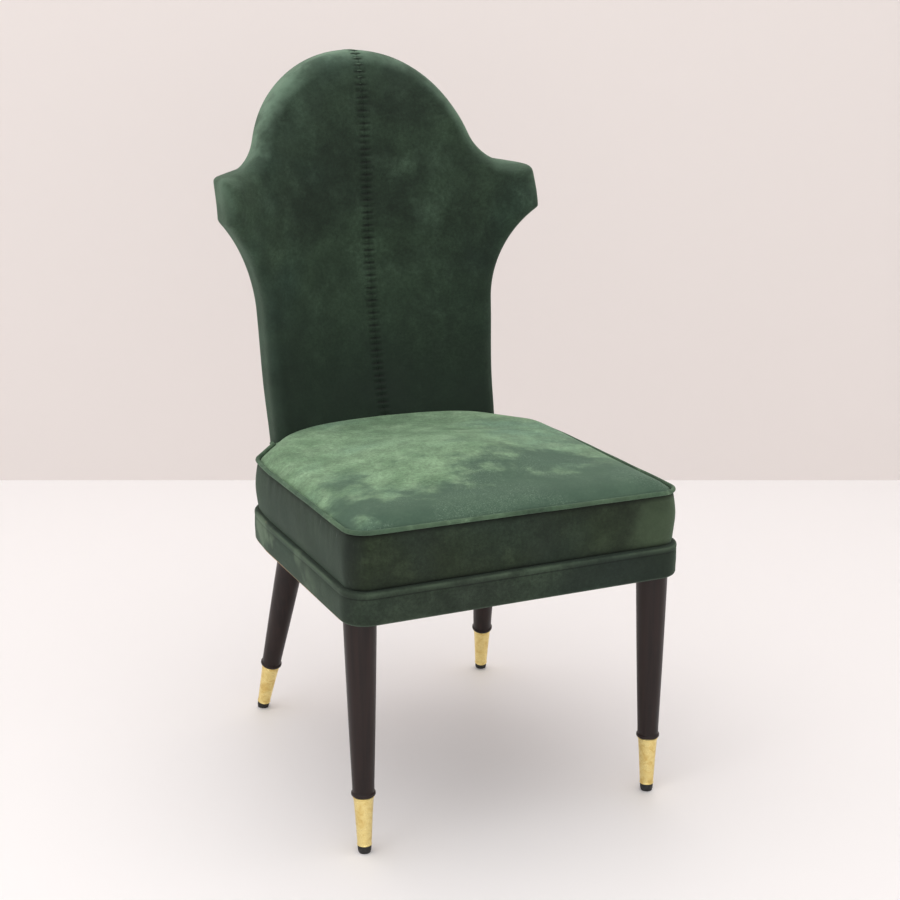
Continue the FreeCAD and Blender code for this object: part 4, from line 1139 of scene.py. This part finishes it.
for place, side, y, lean in (("front_left", -1, -0.296, (0, 0.0149)),
                             ("front_right", 1, -0.296, (0, 0.0149)),
                             ("rear_left", -1, 0.2322, (0.1064, -0.2798)),
                             ("rear_right", 1, 0.2322, (-0.1064, -0.2798))):
    foot = (side * (0.229 if y < 0 else 0.2029), y, 0)
    for kind, profile, top, finish, finish_slot, node in (
            ("leg_turned", leg_outline, LEG_TOP, stain, "leg_wood", "leg_"),
            ("sleeve", sleeve_outline, None, brass, "brass", "ferrule_"),
            ("foot_rubber", tip_outline, None, rubber, "tip", "foot_tip_")):
        piece = turned(f"{kind}_{place}", profile, foot, lean, top)
        piece.data.materials.append(finish)
        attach(piece, "root")
        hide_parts(node + place)

# ---------------------------------------------------------------------------------------------------
# Under the seat: a black woven dust cover, stapled to the rails and hanging a little in the middle.
# ---------------------------------------------------------------------------------------------------
weave, tree, shader = new_material("dust_cloth")
coat = add_node(tree, "ShaderNodeTexCoord").outputs["Object"]
warp = add_node(tree, "ShaderNodeTexWave", wave_type="BANDS", bands_direction="X")
weft = add_node(tree, "ShaderNodeTexWave", wave_type="BANDS", bands_direction="Y")
for threads in (warp, weft):
    threads.inputs["Scale"].default_value = 180
    threads.inputs["Distortion"].default_value = 0.6
    tree.links.new(coat, threads.inputs["Vector"])
cloth_height = calc(tree, "MAXIMUM", warp.outputs["Fac"], weft.outputs["Fac"])
tree.links.new(mixed(tree, cloth_height, linear(16, 16, 17), linear(44, 43, 42)),
               shader.inputs["Base Color"])
tree.links.new(spread(tree, noise(tree, coat, 60, 4), 0.3, 0.7, 0.8, 0.95), shader.inputs["Roughness"])
bump_from(tree, shader, cloth_height, 0.0003)
low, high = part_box("dust_cover")
DUST_REAR, DUST_INSET, DUST_SAG = high[1], 0.0105, 0.0035
dust_line = [(x, y) for x, y in seat_edge(DUST_INSET) if y < DUST_REAR]
dust = outline("dust_cloth_under_seat", [(x, y, low[2] + 0.0009) for x, y in dust_line])
bpy.ops.object.mode_set(mode="EDIT")
bpy.ops.mesh.select_all(action="SELECT")
bpy.ops.mesh.edge_face_add()
bpy.ops.object.mode_set(mode="OBJECT")
for step in range(-12, 13):
    for normal in ((1, 0, 0), (0, 1, 0)):
        bpy.ops.object.mode_set(mode="EDIT")
        bpy.ops.mesh.select_all(action="SELECT")
        place = (step * 0.021 * normal[0], -0.115 + step * 0.018 * normal[1], 0)
        bpy.ops.mesh.bisect(plane_co=place, plane_no=normal)
        bpy.ops.object.mode_set(mode="OBJECT")
spots = corners_of(dust)
dust_away, _ = edge_distance(spots[:, 0], spots[:, 1], dust_line + dust_line[:1])
legs_at = [(side * 0.229, -0.2908) for side in (-1, 1)] + [(side * 0.1657, 0.1343) for side in (-1, 1)]
near_leg = np.min([np.hypot(spots[:, 0] - x, spots[:, 1] - y) for x, y in legs_at], axis=0)
slack = np.clip(dust_away / 0.12, 0, 1) ** 0.8 * np.clip((near_leg - 0.03) / 0.1, 0, 1)
spots[:, 2] -= DUST_SAG * slack
set_corners(dust, spots)
thicken(dust, 0.0006)
dust.data.materials.append(weave)
smooth_shading(dust, 40)
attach(dust, "root")
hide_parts("dust_cover")

# ---------------------------------------------------------------------------------------------------
# The frame inside: beech rails, posts and corner blocks, dowelled and screwed, with sinuous springs of
# steel wire held in clips. Little of it shows, but each part has its own wood or metal.
# ---------------------------------------------------------------------------------------------------
beech, tree, shader = new_material("beech")
coat = add_node(tree, "ShaderNodeTexCoord").outputs["Object"]
stretch = add_node(tree, "ShaderNodeMapping")
stretch.inputs["Scale"].default_value = (14, 60, 60)
tree.links.new(coat, stretch.inputs["Vector"])
figure = noise(tree, stretch.outputs[0], 1.0, 6, 0.6, 0.7)
rays = noise(tree, stretch.outputs[0], 9.0, 3, 0.6)
base = mixed(tree, spread(tree, figure, 0.35, 0.68), linear(188, 150, 108), linear(158, 118, 80))
base = mixed(tree, times(tree, spread(tree, rays, 0.6, 0.78), 0.5), base, linear(128, 92, 60))
tree.links.new(base, shader.inputs["Base Color"])
tree.links.new(spread(tree, figure, 0.3, 0.7, 0.55, 0.75), shader.inputs["Roughness"])
bump_from(tree, shader, rays, 0.0004)

steel, tree, shader = new_material("zinc_steel")
coat = add_node(tree, "ShaderNodeTexCoord").outputs["Object"]
spots_of_zinc = noise(tree, coat, 130, 4, 0.6)
tree.links.new(mixed(tree, spread(tree, spots_of_zinc, 0.35, 0.7), linear(176, 176, 178),
                     linear(128, 128, 132)), shader.inputs["Base Color"])
tree.links.new(spread(tree, spots_of_zinc, 0.3, 0.7, 0.28, 0.45), shader.inputs["Roughness"])
shader.inputs["Metallic"].default_value = 1
bump_from(tree, shader, spots_of_zinc, 0.0001, 0.3)

for name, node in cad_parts.items():
    if node.hide_render:
        continue
    metal = any(word in name for word in ("spring", "clips", "wires", "bolts", "nuts", "screws"))
    for place in node.material_slots:
        place.material = steel if metal else beech
